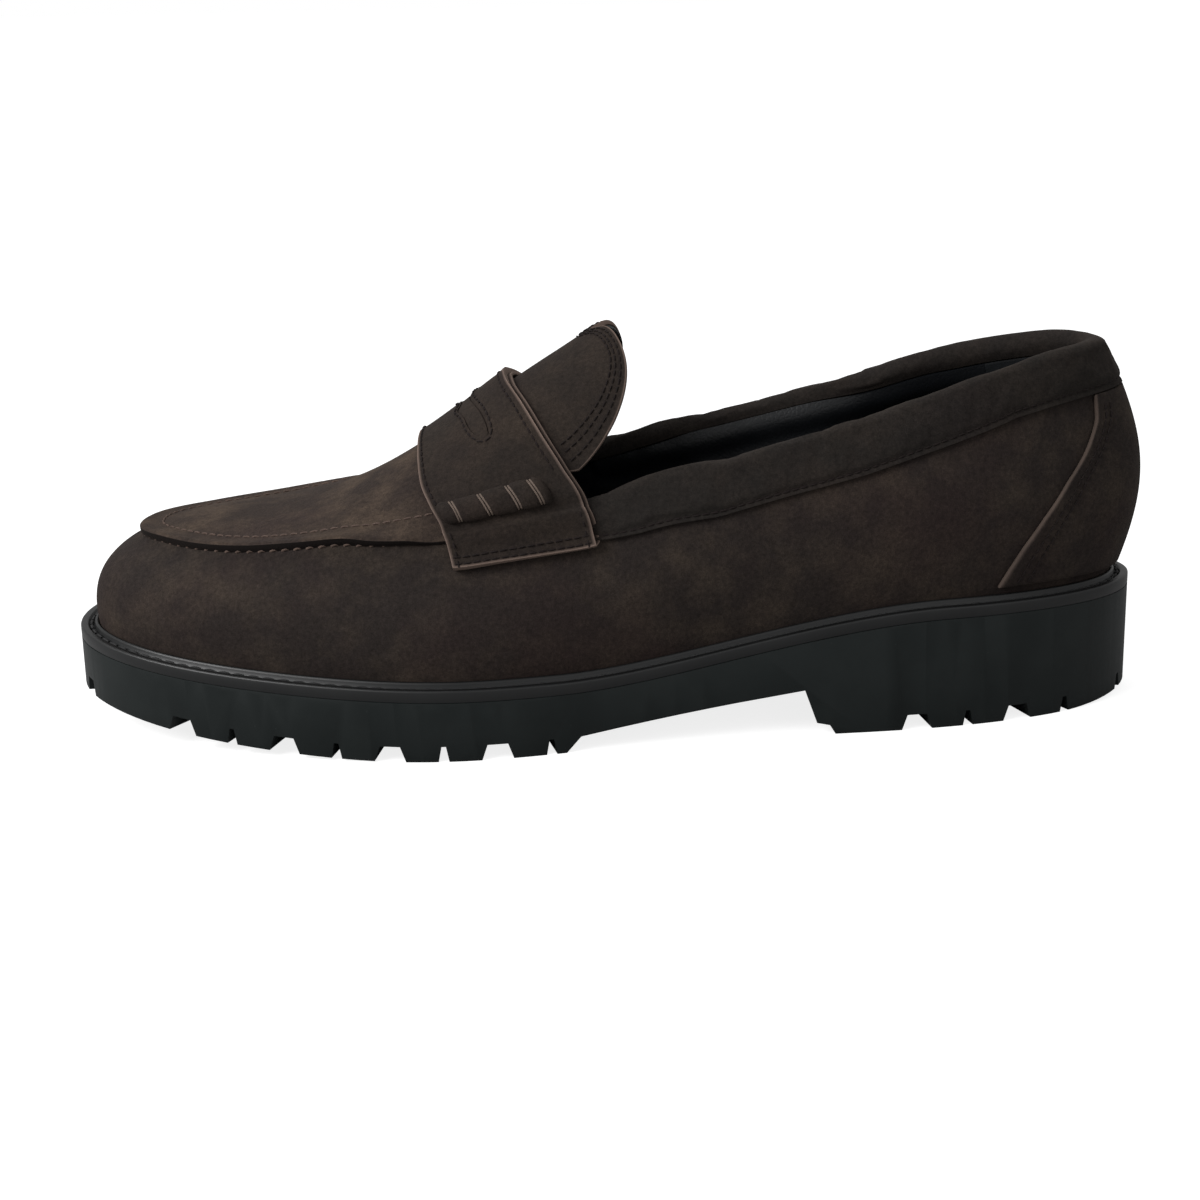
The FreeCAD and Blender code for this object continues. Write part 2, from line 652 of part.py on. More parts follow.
def saddle_sheet(front, rear, v0, v1, off_in, off_out, count_v=41, count_x=11):
    """Sheet on the saddle surface; edges are functions of v, offsets of v and the share front to rear."""
    grids = []
    for off in (off_in, off_out):
        grid = []
        for v in steps(v0, v1, count_v):
            grid.append([saddle(rear(v) + (front(v) - rear(v)) * f, v, off(v, f))
                         for f in steps(0, 1, count_x)])
        grids.append(grid)
    return slab(*grids)


strap_front = profile([(row[0] / GRADE_X, row[1]) for row in STRAP_EDGES], 1, GRADE_X)
strap_rear = profile([(row[0] / GRADE_X, row[2]) for row in STRAP_EDGES], 1, GRADE_X)
APRON_TOP = GLUE_GAP + LEATHER


def strap_base(v):
    """Underside of the strap: above the apron over the instep, down on the wall at its ends."""
    return APRON_TOP + GLUE_GAP + (GLUE_GAP - APRON_TOP - GLUE_GAP) * smooth((abs(v) - 1.08) / 0.24)


def make_strap_layer(low, high, margin):
    """One layer of the strap; margin draws its edges in."""
    end = 1.5 - margin / 24.0
    return saddle_sheet(lambda v: strap_front(abs(v)) - margin, lambda v: strap_rear(abs(v)) + margin,
                        -end, end,
                        lambda v, f: strap_base(v) + low, lambda v, f: strap_base(v) + high)


def slot_prism(shrink=0.0):
    right, left = [], []
    for x, y in SLOT:
        for side, points in ((1, right), (-1, left)):
            p = crown(x * GRADE_X, centre(x * GRADE_X) + side * y * GRADE_Y, APRON_TOP + GLUE_GAP + STRAP_TOP)
            points.append((p.x, p.y))
    left = left[-2:0:-1]
    if not shrink:
        return polygon_prism(right + left)
    ring = [Vector(x, y, -20) for x, y in right + left]
    smaller = Part.makePolygon(ring + ring[:1]).makeOffset2D(-shrink)
    if Part.Face(smaller).Area > Part.Face(Part.makePolygon(ring + ring[:1])).Area:
        smaller = Part.makePolygon(ring + ring[:1]).makeOffset2D(shrink)
    return Part.Face(smaller).extrude(Vector(0, 0, 180))


STRAP_TOP = STRAP_LINING + GLUE_GAP + STRAP_LEATHER


def make_strap():
    leather = make_strap_layer(STRAP_LINING + GLUE_GAP, STRAP_TOP, 0.0)
    return leather.cut(slot_prism())


def make_slot_backing():
    """Leather that fills the penny slot, a little below the strap's face."""
    sheet = make_strap_layer(STRAP_LINING + GLUE_GAP, STRAP_TOP - SLOT_SINK, 3.0)
    return sheet.common(slot_prism(0.25))


def make_roll(side):
    """Beef roll: a rolled strip along the strap's side, just above the seam."""
    middle, half = ROLL_MIDDLE, ROLL_HALF

    def base(v, f):
        return APRON_TOP + GLUE_GAP + STRAP_TOP + GLUE_GAP

    def top(v, f):
        across = (abs(v) - middle) / half
        along = min(f, 1 - f) * 12
        arch = math.sqrt(max(1 - across * across, 0.0))
        return base(v, f) + 0.3 + ROLL_HEIGHT * arch * min(along + 0.55, 1.0)
    front, rear = (lambda v: strap_front(abs(v)) - 0.8), (lambda v: strap_rear(abs(v)) + ROLL_SHORT)
    ends = (middle - half, middle + half)
    v0, v1 = ends if side > 0 else (-ends[1], -ends[0])
    return saddle_sheet(front, rear, v0, v1, base, top, 11, 21)


def make_wraps():
    """Thread wound round each beef roll: four wraps a side."""
    base = APRON_TOP + GLUE_GAP + STRAP_TOP + GLUE_GAP
    wraps = []
    for side in (1, -1):
        for f in WRAPS:
            def lift(v, extra):
                across = (abs(v) - ROLL_MIDDLE) / ROLL_HALF
                arch_height = ROLL_HEIGHT * math.sqrt(max(1 - across * across, 0.0))
                return base + 0.3 + max(arch_height, 0.0) + extra
            grids = []
            for extra in (THREAD_GAP, THREAD_GAP + THREAD_HEIGHT):
                grid = []
                for k in steps(-1.0, 1.0, 15):
                    v = ROLL_MIDDLE + ROLL_HALF * math.sin(k * math.pi / 2)
                    x = strap_rear(v) + (strap_front(v) - strap_rear(v)) * f
                    grid.append([saddle(x + d, side * v, lift(v, extra))
                                 for d in (-WRAP_WIDTH / 2, WRAP_WIDTH / 2)])
                grids.append(grid)
            wraps.append(slab(*grids))
    return Part.makeCompound(wraps)


def ribbon(surface, path, low, high, width=THREAD_WIDTH):
    """Thread laid along a path of surface coordinates."""
    lower, upper = [], []
    count = len(path)
    spots = [surface(a, b, 0.0) for a, b in path]
    for i, (a, b) in enumerate(path):
        ahead, behind = spots[min(i + 1, count - 1)], spots[max(i - 1, 0)]
        normal = surface(a, b, 1.0) - spots[i]
        across = normal.cross(ahead - behind).normalize() * (width / 2)
        lower.append([spots[i] + normal * low - across, spots[i] + normal * low + across])
        upper.append([spots[i] + normal * high - across, spots[i] + normal * high + across])
    return slab(lower, upper)


seam_points = [top_edge(u) for u in steps(7.0, 19.0, 121)]


def seam_distance(x, y):
    return min(math.hypot(p.x - x, p.y - y) for p in seam_points)


def apron_lip(x, y):
    """Extra height of the apron near its seam; it dies out under the strap."""
    near = max(1 - seam_distance(x, y) / LIP_WIDTH, 0.0)
    return LIP_HEIGHT * near * near * smooth((x - 52.0 * GRADE_X) / (12.0 * GRADE_X))


def seam_prism(grow, back):
    """Upright prism inside the apron seam, grown outwards, cut square at the back."""
    points = []
    for u in steps(7.0, 19.0, 61):
        p, ahead, behind = top_edge(u), top_edge(u + 0.05), top_edge(u - 0.05)
        along = Vector(ahead.x - behind.x, ahead.y - behind.y, 0).normalize()
        points.append(Vector(p.x - along.y * grow, p.y + along.x * grow, -20))
    curve = Part.BSplineCurve()
    curve.interpolate(points)
    close = Part.makeLine(points[-1], points[0])
    block = Part.Face(Part.Wire([curve.toShape(), close])).extrude(Vector(0, 0, 180))
    return block.common(Part.makeBox(SOLE_LENGTH, 2 * BALL_WIDTH, 180, Vector(back, -BALL_WIDTH, -20)))


def make_apron():
    reach = 42.0 * GRADE_Y
    sheet = crown_sheet(APRON_BACK * GRADE_X - 4, 138.0 * GRADE_X, reach, GLUE_GAP,
                        lambda x, y: APRON_TOP + apron_lip(x, y), 48, 41)
    return sheet.common(seam_prism(APRON_OVERLAP, APRON_BACK * GRADE_X))


def make_apron_lining():
    sheet = crown_sheet(APRON_BACK * GRADE_X - 4, 130.0 * GRADE_X, 40.0 * GRADE_Y,
                        -GLUE_GAP - LINING, -GLUE_GAP,
                        30, 21)
    return sheet.common(seam_prism(-2.8, APRON_BACK * GRADE_X + 0.5))


def tongue_grid(off, margin):
    """Grid of the tongue from its root under the strap to its free edge, margin drawn in at the free edge."""
    reach = (30.3 - margin) * GRADE_Y
    grid = []
    for k in steps(-1.0, 1.0, 41):
        w = reach * math.sin(k * math.pi / 2)
        free = lookup(TONGUE_EDGE, abs(w) / GRADE_Y) * GRADE_X + margin
        share = abs(w) / (35.0 * GRADE_Y)
        tuck = TONGUE_TAB - (TONGUE_TAB + TONGUE_CLEARANCE) * smooth((share - 0.45) / 0.2)
        root = strap_rear(share) + tuck
        grid.append([crown(x, centre(x) + w, off) for x in steps(free, root, 15)])
    return grid


TONGUE_TOP = APRON_TOP - TONGUE_SINK


def make_tongue():
    return slab(tongue_grid(TONGUE_TOP - LEATHER, 0.0), tongue_grid(TONGUE_TOP, 0.0))


def make_tongue_lining():
    under = TONGUE_TOP - LEATHER - GLUE_GAP
    return slab(tongue_grid(under - LINING, 0.3), tongue_grid(under, 0.3))


def make_tongue_thread():
    rows = []
    for inset in (1.6, 3.0):
        path = []
        for k in steps(-0.93, 0.93, 61):
            w = (30.3 - inset) * GRADE_Y * math.sin(k * math.pi / 2)
            x = lookup(TONGUE_EDGE, abs(w) / GRADE_Y * 30.3 / (30.3 - inset)) * GRADE_X + inset
            path.append((x, centre(x) + w))
        low = TONGUE_TOP + THREAD_GAP
        rows.append(ribbon(crown, path, low, low + THREAD_HEIGHT))
    return Part.makeCompound(rows)


def collar_low(u):
    """Height share of the collar band's lower edge at station u."""
    return lookup(COLLAR_SEAM, abs(u))


def collar_end(t):
    """Station where the collar stops short of the strap's rear edge."""
    v = 1 + (1 - min(t, 1.0)) / (2 * STRAP_DROP)
    return strap_rear(min(v, 1.5)) - 0.5


collar_ends = {}


def collar_station(share, t):
    """Station number at a share along the collar, 0 at the inner end and 1 at the outer."""
    key = round(min(t, 1.0), 3)
    if key not in collar_ends:
        x = collar_end(key)
        collar_ends[key] = (station_on_wall(x, key, False) - COUNT, station_on_wall(x, key, True))
    start, end = collar_ends[key]
    return start + (end - start) * share


def collar_section(u, outside):
    """(height share, offset) pairs up the outside of the wall, over the topline and down the inside."""
    thickness = OVERLAY if outside else 0.0
    face = GLUE_GAP + thickness
    depth = LEATHER + 2 * GLUE_GAP + COLLAR_PAD + thickness
    radius = (face + depth) / 2
    middle = face - radius
    low = collar_low(u)
    height = (wall_point(u, 1.0) - wall_point(u, 0.9)).Length / 0.1
    section = [(low + (1.0 - low) * k, face) for k in steps(0, 1, 9)[:-1]]
    for angle in steps(0, math.pi, 11):
        section.append((1.0 + radius * math.sin(angle) / height, middle + radius * math.cos(angle)))
    for k in steps(0, 1, 4)[1:]:
        section.append((1.0 - COLLAR_FACING * k, -depth))
    return section


def wall_beyond(u, t, off):
    """The wall's face, carried straight on above its top edge."""
    if t <= 1:
        return wall(u, t, off)
    slope = (wall_point(u, 1.0) - wall_point(u, 0.98)) * ((t - 1) / 0.02)
    return wall(u, 1.0, off) + slope


def make_collar():
    grids = []
    for outside in (False, True):
        grid = []
        for share in steps(0, 1, 151, SPARE):
            row = []
            guess = collar_station(share, 0.9)
            for t, off in collar_section(guess, outside):
                row.append(wall_beyond(collar_station(share, t), t, off))
            grid.append(row)
        grids.append(grid)
    return slab(*grids, SPARE)


def pad_swell(u, t):
    """Extra depth of the foam over the stiffeners; it grows up the wall and dies out at the strap."""
    station = min(u % COUNT, COUNT - u % COUNT)
    fade = smooth((OUTER_MOUTH + 0.2 - station) / 0.7)
    return (COLLAR_PAD - STIFFENER) * smooth((t - PAD_FOOT) / 0.12) * fade


def make_padding():
    """Foam between the wall and its lining, just under the topline."""
    start, end = collar_station(0.004, 0.95), collar_station(0.996, 0.95)
    near = -(LEATHER + GLUE_GAP)
    return wall_sheet(start, end, PAD_FOOT, 1.0 - COLLAR_FACING - 0.02,
                      lambda u, t: near - STIFFENER + PAD_EASE - pad_swell(u, t),
                      near, 131, 13)


def make_collar_thread():
    path = []
    for share in steps(0.012, 0.988, 121):
        u = collar_station(share, 0.8)
        path.append((u, collar_low(u) + 0.024))
    low = GLUE_GAP + OVERLAY + THREAD_GAP
    return ribbon(wall, path, low, low + THREAD_HEIGHT)


def cover_edge(t):
    return lookup(COVER_EDGE, t)


def make_cover():
    """Back cover: the panel over the heel, under the collar band."""
    grids = []
    for off in (GLUE_GAP, GLUE_GAP + OVERLAY):
        grid = []
        for share in steps(-1, 1, 91, SPARE):
            row = []
            top = collar_low(share * 1.4) - 0.006
            for t in steps(0.045, top, 17):
                row.append(wall(cover_edge(t) * share, t, off))
            grid.append(row)
        grids.append(grid)
    return slab(*grids, SPARE)


def make_cover_thread():
    """Two rows of stitching behind the cover's front edges."""
    rows = []
    low = GLUE_GAP + OVERLAY + THREAD_GAP
    for side in (1, -1):
        for inset in (0.12, 0.24):
            path = [(side * (cover_edge(t) - inset), t) for t in steps(0.075, 0.79, 31)]
            rows.append(ribbon(wall, path, low, low + THREAD_HEIGHT, 0.6))
    return Part.makeCompound(rows)


def make_strap_thread():
    """Stitching round the strap's edges: a row along each edge and a second along its lower ends."""
    low = STRAP_TOP + THREAD_GAP
    rows = []

    def row(path):
        lower, upper = [], []
        count = len(path)
        spots = [saddle(x, v, strap_base(v) + low) for x, v in path]
        for i, (x, v) in enumerate(path):
            ahead, behind = spots[min(i + 1, count - 1)], spots[max(i - 1, 0)]
            normal = saddle(x, v, strap_base(v) + low + 1.0) - spots[i]
            across = normal.cross(ahead - behind).normalize() * (THREAD_WIDTH / 2)
            lower.append([spots[i] - across, spots[i] + across])
            top = spots[i] + normal * THREAD_HEIGHT
            upper.append([top - across, top + across])
        return slab(lower, upper)
    for edge, inset in ((strap_front, -1.6), (strap_rear, 1.6)):
        rows.append(row([(edge(abs(v)) + inset, v) for v in steps(-0.83, 0.83, 41)]))
        for side in (1, -1):
            rows.append(row([(edge(v) + inset, side * v) for v in steps(1.08, 1.4, 9)]))
    for side in (1, -1):
        for v in (1.44, 1.37):
            xs = steps(strap_rear(v) + 2.9, strap_front(v) - 2.9, 15)
            rows.append(row([(x, side * v) for x in xs]))
    return Part.makeCompound(rows)


def make_apron_thread():
    """Whip stitching of the seam and the row inside the apron's lip."""
    seam = ribbon(wall, [(u, 0.955) for u in steps(7.75, 18.25, 181)], SEAM_GAP, SEAM_GAP + THREAD_HEIGHT)
    path = []
    for u in steps(7.9, 18.1, 121):
        p, ahead, behind = top_edge(u), top_edge(u + 0.05), top_edge(u - 0.05)
        along = Vector(ahead.x - behind.x, ahead.y - behind.y, 0).normalize()
        path.append((p.x + along.y * 5.0, p.y - along.x * 5.0))
    lift = LIP_HEIGHT * (1 - 4.3 / LIP_WIDTH) ** 2
    low = APRON_TOP + lift + THREAD_GAP
    inner = ribbon(crown, path, low, low + THREAD_HEIGHT)
    return Part.makeCompound([seam, inner])


def make_welt_thread():
    """Thread in the welt's groove."""
    middle = WELT_WIDTH - BEAD_WIDTH - GROOVE_WIDTH * 0.5
    lift = GLUE_GAP + WELT_THICKNESS - GROOVE_DEPTH + THREAD_GAP
    lower, upper = [], []
    joint = WELT_JOINT / 20.0
    for u in steps(21.0 + joint, 21.0 + COUNT - joint, 141):
        (x0, y0), (x1, y1) = outline(u, middle - 0.4), outline(u, middle + 0.4)
        x = (x0 + x1) / 2
        z = sole_top(x) + lift
        lower.append([Vector(x0, y0, z), Vector(x1, y1, z)])
        upper.append([Vector(x0, y0, z + 0.5), Vector(x1, y1, z + 0.5)])
    return slab(lower, upper)


# ---- linings and stiffeners ----------------------------------------------------------------------------
MIDDLE = (-(LEATHER + GLUE_GAP + STIFFENER), -(LEATHER + GLUE_GAP))
INNER = (MIDDLE[0] - GLUE_GAP - LINING, MIDDLE[0] - GLUE_GAP)
LINING_TOP = 1.0 - COLLAR_FACING - 0.01


def middle_layer(u0, u1, t0, t1):
    return wall_sheet(u0, u1, t0, t1, *MIDDLE, 71, 13)


def inner_layer(u0, u1, t0, t1, count=61):
    """Lining, which swells over the collar's foam."""
    return wall_sheet(u0, u1, t0, t1, lambda u, t: INNER[0] - pad_swell(u, t),
                      lambda u, t: INNER[1] - pad_swell(u, t),
                      count, 49)


# ---- inside the sole -----------------------------------------------------------------------------------
def level(height):
    """Height function that lies this far above the outsole's top face."""
    return lambda x: sole_top(x) + height


INSOLE_LOW = WELT_THICKNESS + 2 * GLUE_GAP
SOCK_LOW = INSOLE_LOW + INSOLE_THICKNESS + GLUE_GAP
PAD_LOW = SOCK_LOW + SOCK_THICKNESS + GLUE_GAP
SHANK_BACK = HEEL_BACK + 72.0 * GRADE_X


def shank_block(grow):
    strip = side_profile(level(GLUE_GAP - grow), level(GLUE_GAP + SHANK_THICKNESS + grow), SHANK_BACK - grow,
                         SHANK_BACK + SHANK_LENGTH * GRADE_X + grow, 24)
    width = SHANK_WIDTH + 2 * grow
    return strip.common(Part.makeBox(SOLE_LENGTH, width, 160, Vector(HEEL_BACK, -width / 2, -20)))


def make_filler():
    slabby = plate(CAVITY_INSET, level(GLUE_GAP), level(WELT_THICKNESS))
    return slabby.cut(shank_block(GLUE_GAP))


def make_heel_pad():
    front = HEEL_BACK + HEEL_PAD_LENGTH * GRADE_X
    pad = plate(CAVITY_INSET + 1.2, level(PAD_LOW), level(PAD_LOW + HEEL_PAD_THICKNESS))
    round_front = Part.makeCylinder(24.0 * GRADE_Y, 200, Vector(front - 24.0 * GRADE_Y, 0, -20))
    back = Part.makeBox(SOLE_LENGTH, 2 * BALL_WIDTH, 200,
                        Vector(front - 24.0 * GRADE_Y - SOLE_LENGTH, -BALL_WIDTH, -20))
    return pad.common(back.fuse(round_front))


BUILDERS = {
    "outsole": make_outsole,
    "welt": make_welt,
    "welt_thread": make_welt_thread,
    "shank": lambda: shank_block(0.0),
    "cork_filler": make_filler,
    "insole": lambda: plate(CAVITY_INSET, level(INSOLE_LOW), level(INSOLE_LOW + INSOLE_THICKNESS)),
    "sock_liner": lambda: plate(CAVITY_INSET, level(SOCK_LOW), level(SOCK_LOW + SOCK_THICKNESS)),
    "heel_pad": make_heel_pad,
    "upper_wall": lambda: wall_sheet(0.01, COUNT - 0.01, 0.0, 1.0, -LEATHER, 0.0, 209, 17),
    "back_cover": make_cover,
    "back_cover_thread": make_cover_thread,
    "collar": make_collar,
    "collar_padding": make_padding,
    "collar_thread": make_collar_thread,
    "apron": make_apron,
    "apron_thread": make_apron_thread,
    "apron_lining": make_apron_lining,
    "saddle_strap": make_strap,
    "slot_backing": make_slot_backing,
    "strap_lining": lambda: make_strap_layer(0.0, STRAP_LINING, 0.4),
    "strap_thread": make_strap_thread,
    "beef_roll_outer": lambda: make_roll(1),
    "beef_roll_inner": lambda: make_roll(-1),
    "beef_roll_thread": make_wraps,
    "tongue": make_tongue,
    "tongue_lining": make_tongue_lining,
    "tongue_thread": make_tongue_thread,
    "vamp_lining": lambda: inner_layer(6.4, 19.6, 0.0, 0.94, 121),
    "quarter_lining_outer": lambda: inner_layer(2.45, 6.36, 0.0, LINING_TOP),
    "quarter_lining_inner": lambda: inner_layer(19.64, 23.55, 0.0, LINING_TOP),
    "heel_grip": lambda: inner_layer(-2.41, 2.41, 0.0, LINING_TOP),
    "heel_counter": lambda: middle_layer(-3.3, 3.3, 0.02, 0.72),
    "toe_puff": lambda: middle_layer(9.4, 16.6, 0.02, 0.86),
    "side_interlining_outer": lambda: middle_layer(3.4, 9.3, 0.02, 0.66),
    "side_interlining_inner": lambda: middle_layer(16.7, 22.6, 0.02, 0.66),
}


def main():
    os.makedirs("parts", exist_ok=True)
    shapes = {name: build() for name, build in BUILDERS.items()}
    corners = []
    for name in ("outsole", "welt", "back_cover", "collar"):
        corners.extend(shapes[name].tessellate(0.05)[0])
    shift = Vector(-(min(p.x for p in corners) + max(p.x for p in corners)) / 2,
                   -(min(p.y for p in corners) + max(p.y for p in corners)) / 2,
                   -min(p.z for p in corners))
    hinge = crown(strap_rear(0.0) - HINGE_BACK, centre(strap_rear(0.0)), -HINGE_DEPTH) + shift
    print("shift", shift, "hinge", hinge)
    for name, shape in shapes.items():
        shape.translate(shift)
        shape.exportStep("parts/" + name + ".step")


if __name__ == "__main__":
    main()
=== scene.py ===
import json
import math

import bmesh
import bpy
import numpy as np
from mathutils import Matrix, Vector

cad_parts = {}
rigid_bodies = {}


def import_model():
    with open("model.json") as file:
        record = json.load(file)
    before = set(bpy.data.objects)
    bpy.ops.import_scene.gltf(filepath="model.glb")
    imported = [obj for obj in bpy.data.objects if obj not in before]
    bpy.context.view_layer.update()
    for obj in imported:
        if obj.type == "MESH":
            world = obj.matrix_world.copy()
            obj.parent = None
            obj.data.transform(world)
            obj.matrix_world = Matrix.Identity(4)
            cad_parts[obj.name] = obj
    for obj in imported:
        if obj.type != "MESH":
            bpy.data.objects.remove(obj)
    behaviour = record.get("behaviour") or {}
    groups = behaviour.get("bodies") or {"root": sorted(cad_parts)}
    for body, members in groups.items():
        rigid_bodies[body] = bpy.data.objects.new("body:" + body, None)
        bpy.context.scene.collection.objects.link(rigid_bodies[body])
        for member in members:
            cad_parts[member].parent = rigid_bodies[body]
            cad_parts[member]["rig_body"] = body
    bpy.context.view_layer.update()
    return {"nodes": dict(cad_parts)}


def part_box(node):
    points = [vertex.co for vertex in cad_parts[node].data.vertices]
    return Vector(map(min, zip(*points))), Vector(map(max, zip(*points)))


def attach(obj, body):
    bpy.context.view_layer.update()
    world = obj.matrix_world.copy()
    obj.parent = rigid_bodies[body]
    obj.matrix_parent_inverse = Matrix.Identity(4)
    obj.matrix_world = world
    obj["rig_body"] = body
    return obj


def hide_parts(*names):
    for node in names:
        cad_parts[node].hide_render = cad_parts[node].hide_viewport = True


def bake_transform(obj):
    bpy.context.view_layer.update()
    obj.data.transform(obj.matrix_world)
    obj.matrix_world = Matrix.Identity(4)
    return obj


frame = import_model()
nodes = frame["nodes"]

# ---- the shoe's pattern, in millimetres: the stations and curves that the CAD part is drafted from ------
WELT_WIDTH, WELT_THICKNESS = 5.5, 3.4
BEAD_WIDTH, GROOVE_WIDTH = 1.5, 1.9
LEATHER, STIFFENER, LINING, GAP, OVERLAY = 1.4, 0.8, 0.9, 0.18, 1.2
STRAP_LINING, STRAP_LEATHER, STRAP_DROP = 1.1, 1.7, 0.21
COLLAR_PAD, COLLAR_FACING, PAD_FOOT = 2.4, 0.03, 0.8
TONGUE_TAB, TONGUE_SINK = 6.4, 0.55
TONGUE_HALF = 30.3          # half the tongue's width
ROLL_HEIGHT, ROLL_MIDDLE, ROLL_HALF = 2.4, 0.915, 0.058
WRAPS = (0.85, 0.63, 0.43, 0.27)
FORE_THICKNESS, HEEL_RISE, TOP_TOE_LIFT = 16.5, 14.7, 7.0
STITCH_PITCH = 3.5          # whip stitches of the apron
LIP_HEIGHT, LIP_WIDTH = 1.3, 7.0
INSOLE, SOCK, HEEL_PAD = 2.4, 1.0, 2.2
SOCK_INSET, PAD_INSET, PAD_FRONT, PAD_NOSE = 9.5, 10.7, -74.5, 24.0
TOE = 13                    # the station at the tip of the toe

# sole outline x, y; top edge x, y; rise of the top edge (0: on the instep); lean at its foot and its top
STATIONS = np.array([
    (-152.5, 0.0, -142.0, 0.0, 65.4, 20, 26), (-147.0, 14.5, -137.5, 10.5, 65.3, 18, 24),
    (-131.0, 27.0, -122.0, 19.5, 63.0, 15, 22), (-104.0, 36.5, -100.0, 26.0, 57.6, 12, 22),
    (-70.0, 41.2, -70.0, 30.0, 50.8, 10, 23), (-34.0, 43.5, -35.0, 32.5, 48.1, 10, 25),
    (0.0, 48.6, 2.0, 34.0, 0, 10, 27), (30.0, 54.6, 28.0, 36.0, 0, 10, 30),
    (58.0, 55.0, 55.0, 35.5, 0, 10, 40), (88.0, 49.3, 83.0, 32.5, 0, 10, 48),
    (116.0, 40.0, 106.0, 24.5, 0, 10, 58), (137.0, 27.0, 121.5, 13.5, 0, 9, 66),
    (149.5, 11.0, 130.0, 3.5, 0, 9, 70), (152.5, -6.0, 132.0, -6.0, 0, 9, 70),
    (149.0, -22.5, 130.0, -15.5, 0, 9, 70), (138.0, -35.0, 122.0, -24.5, 0, 9, 66),
    (116.0, -45.3, 106.0, -31.5, 0, 10, 58), (86.0, -52.0, 83.0, -35.5, 0, 10, 48),
    (56.0, -54.0, 55.0, -36.5, 0, 10, 40), (26.0, -49.5, 28.0, -36.5, 0, 8, 30),
    (-4.0, -41.5, 2.0, -34.5, 0, 6, 27), (-37.0, -36.0, -37.0, -32.5, 47.3, 6, 24),
    (-71.0, -35.0, -70.0, -30.5, 50.0, 8, 22), (-104.0, -34.5, -100.0, -26.0, 58.3, 12, 22),
    (-130.0, -26.5, -122.0, -19.5, 63.0, 15, 22), (-146.5, -14.0, -137.5, -10.5, 65.2, 18, 24)], float)
COUNT = len(STATIONS)
RIDGE = [(150, 25.0, 160), (132, 31.8, 160), (115, 34.8, 200), (92, 37.6, 280), (76, 41.6, 215),
         (65, 46.4, 127), (53, 53.0, 82), (40, 61.5, 58), (27, 71.0, 44), (9, 82.5, 31.5),
         (-5, 90.5, 26.5), (-30, 102.0, 24)]
CENTRE_LINE = [(-155, 0.0), (-60, 1.5), (0, -0.5), (60, -1.5), (110, -4.5), (150, -6.0)]
STRAP_EDGES = [(0.0, 49.3, 24.6), (0.25, 49.4, 23.4), (0.5, 49.3, 19.8), (0.7, 48.6, 15.6),
               (0.85, 46.5, 11.0), (1.0, 43.6, 5.6), (1.5, 41.3, 2.5)]
SLOT = [(34.3, 0.0), (33.2, 6.5), (30.6, 14.0), (29.0, 20.5), (30.4, 21.6), (32.6, 20.0), (34.8, 16.5),
        (35.8, 11.5), (36.9, 8.2), (38.0, 5.0), (37.0, 2.2), (36.6, 0.0)]
TONGUE_EDGE = [(0.0, 1.5), (5.0, -2.2), (11.5, -5.4), (17.3, -7.1), (21.3, -6.5), (24.8, -3.9), (27.4, -0.1),
               (29.3, 4.0), (30.3, 6.8)]
COLLAR_SEAM = [(0.0, 0.856), (1.4, 0.856), (2.6, 0.853), (3.35, 0.806), (4.0, 0.78), (4.55, 0.778),
               (5.13, 0.77), (5.7, 0.79), (6.1, 0.832)]
COVER_EDGE = [(0.0, 2.88), (0.21, 2.61), (0.345, 2.40), (0.5, 2.12), (0.635, 1.79),
              (0.75, 1.53), (0.865, 1.4)]

# the CAD part is centred on its overall box; the shank is drawn square to the pattern, so it gives the shift
shank_low, shank_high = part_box("shank")
SHIFT = np.array([shank_low.x * 1000 + 80.5, (shank_low.y + shank_high.y) * 500, 0.0])


def smooth(t):
    t = np.clip(t, 0, 1)
    return t * t * (3 - 2 * t)


def settle(points):
    """Control points of a closed uniform cubic spline through the points."""
    points = np.array(points, float)
    controls = points.copy()
    for _ in range(30):
        controls = controls + points - (np.roll(controls, 1, 0) + 4 * controls + np.roll(controls, -1, 0)) / 6
    return controls


def spline_at(controls, u):
    u = np.asarray(u, float) % COUNT
    i = np.floor(u).astype(int)
    f = (u - i)[..., None]
    a, b, c, d = (controls[(i + k) % COUNT] for k in (-1, 0, 1, 2))
    return ((1 - f) ** 3 * a + (3 * f ** 3 - 6 * f * f + 4) * b + (-3 * f ** 3 + 3 * f * f + 3 * f + 1) * c
            + f ** 3 * d) / 6


def profile(table, column):
    rows = np.array(sorted((r[0], r[column]) for r in table), float)
    xs, ys = rows[:, 0], rows[:, 1]
    low, high = np.maximum(np.arange(len(xs)) - 1, 0), np.minimum(np.arange(len(xs)) + 1, len(xs) - 1)
    slopes = (ys[high] - ys[low]) / (xs[high] - xs[low])

    def value(x):
        x = np.asarray(x, float)
        i = np.clip(np.searchsorted(xs, x, side="right") - 1, 0, len(xs) - 2)
        span = xs[i + 1] - xs[i]
        t = (x - xs[i]) / span
        inside = ((2 * t ** 3 - 3 * t * t + 1) * ys[i] + (t ** 3 - 2 * t * t + t) * span * slopes[i]
                  + (3 * t * t - 2 * t ** 3) * ys[i + 1] + (t ** 3 - t * t) * span * slopes[i + 1])
        inside = np.where(x <= xs[0], ys[0] + slopes[0] * (x - xs[0]), inside)
        return np.where(x >= xs[-1], ys[-1] + slopes[-1] * (x - xs[-1]), inside)
    return value


def lookup(table, value):
    rows = np.array(table, float)
    return np.interp(value, rows[:, 0], rows[:, 1])


def sole_top(x):
    x = np.asarray(x, float)
    back = smooth((15.0 - x) / 110.0)
    toe = np.maximum(x - 35.0, 0) / 117.5
    return FORE_THICKNESS + HEEL_RISE * back + TOP_TOE_LIFT * toe ** 1.8


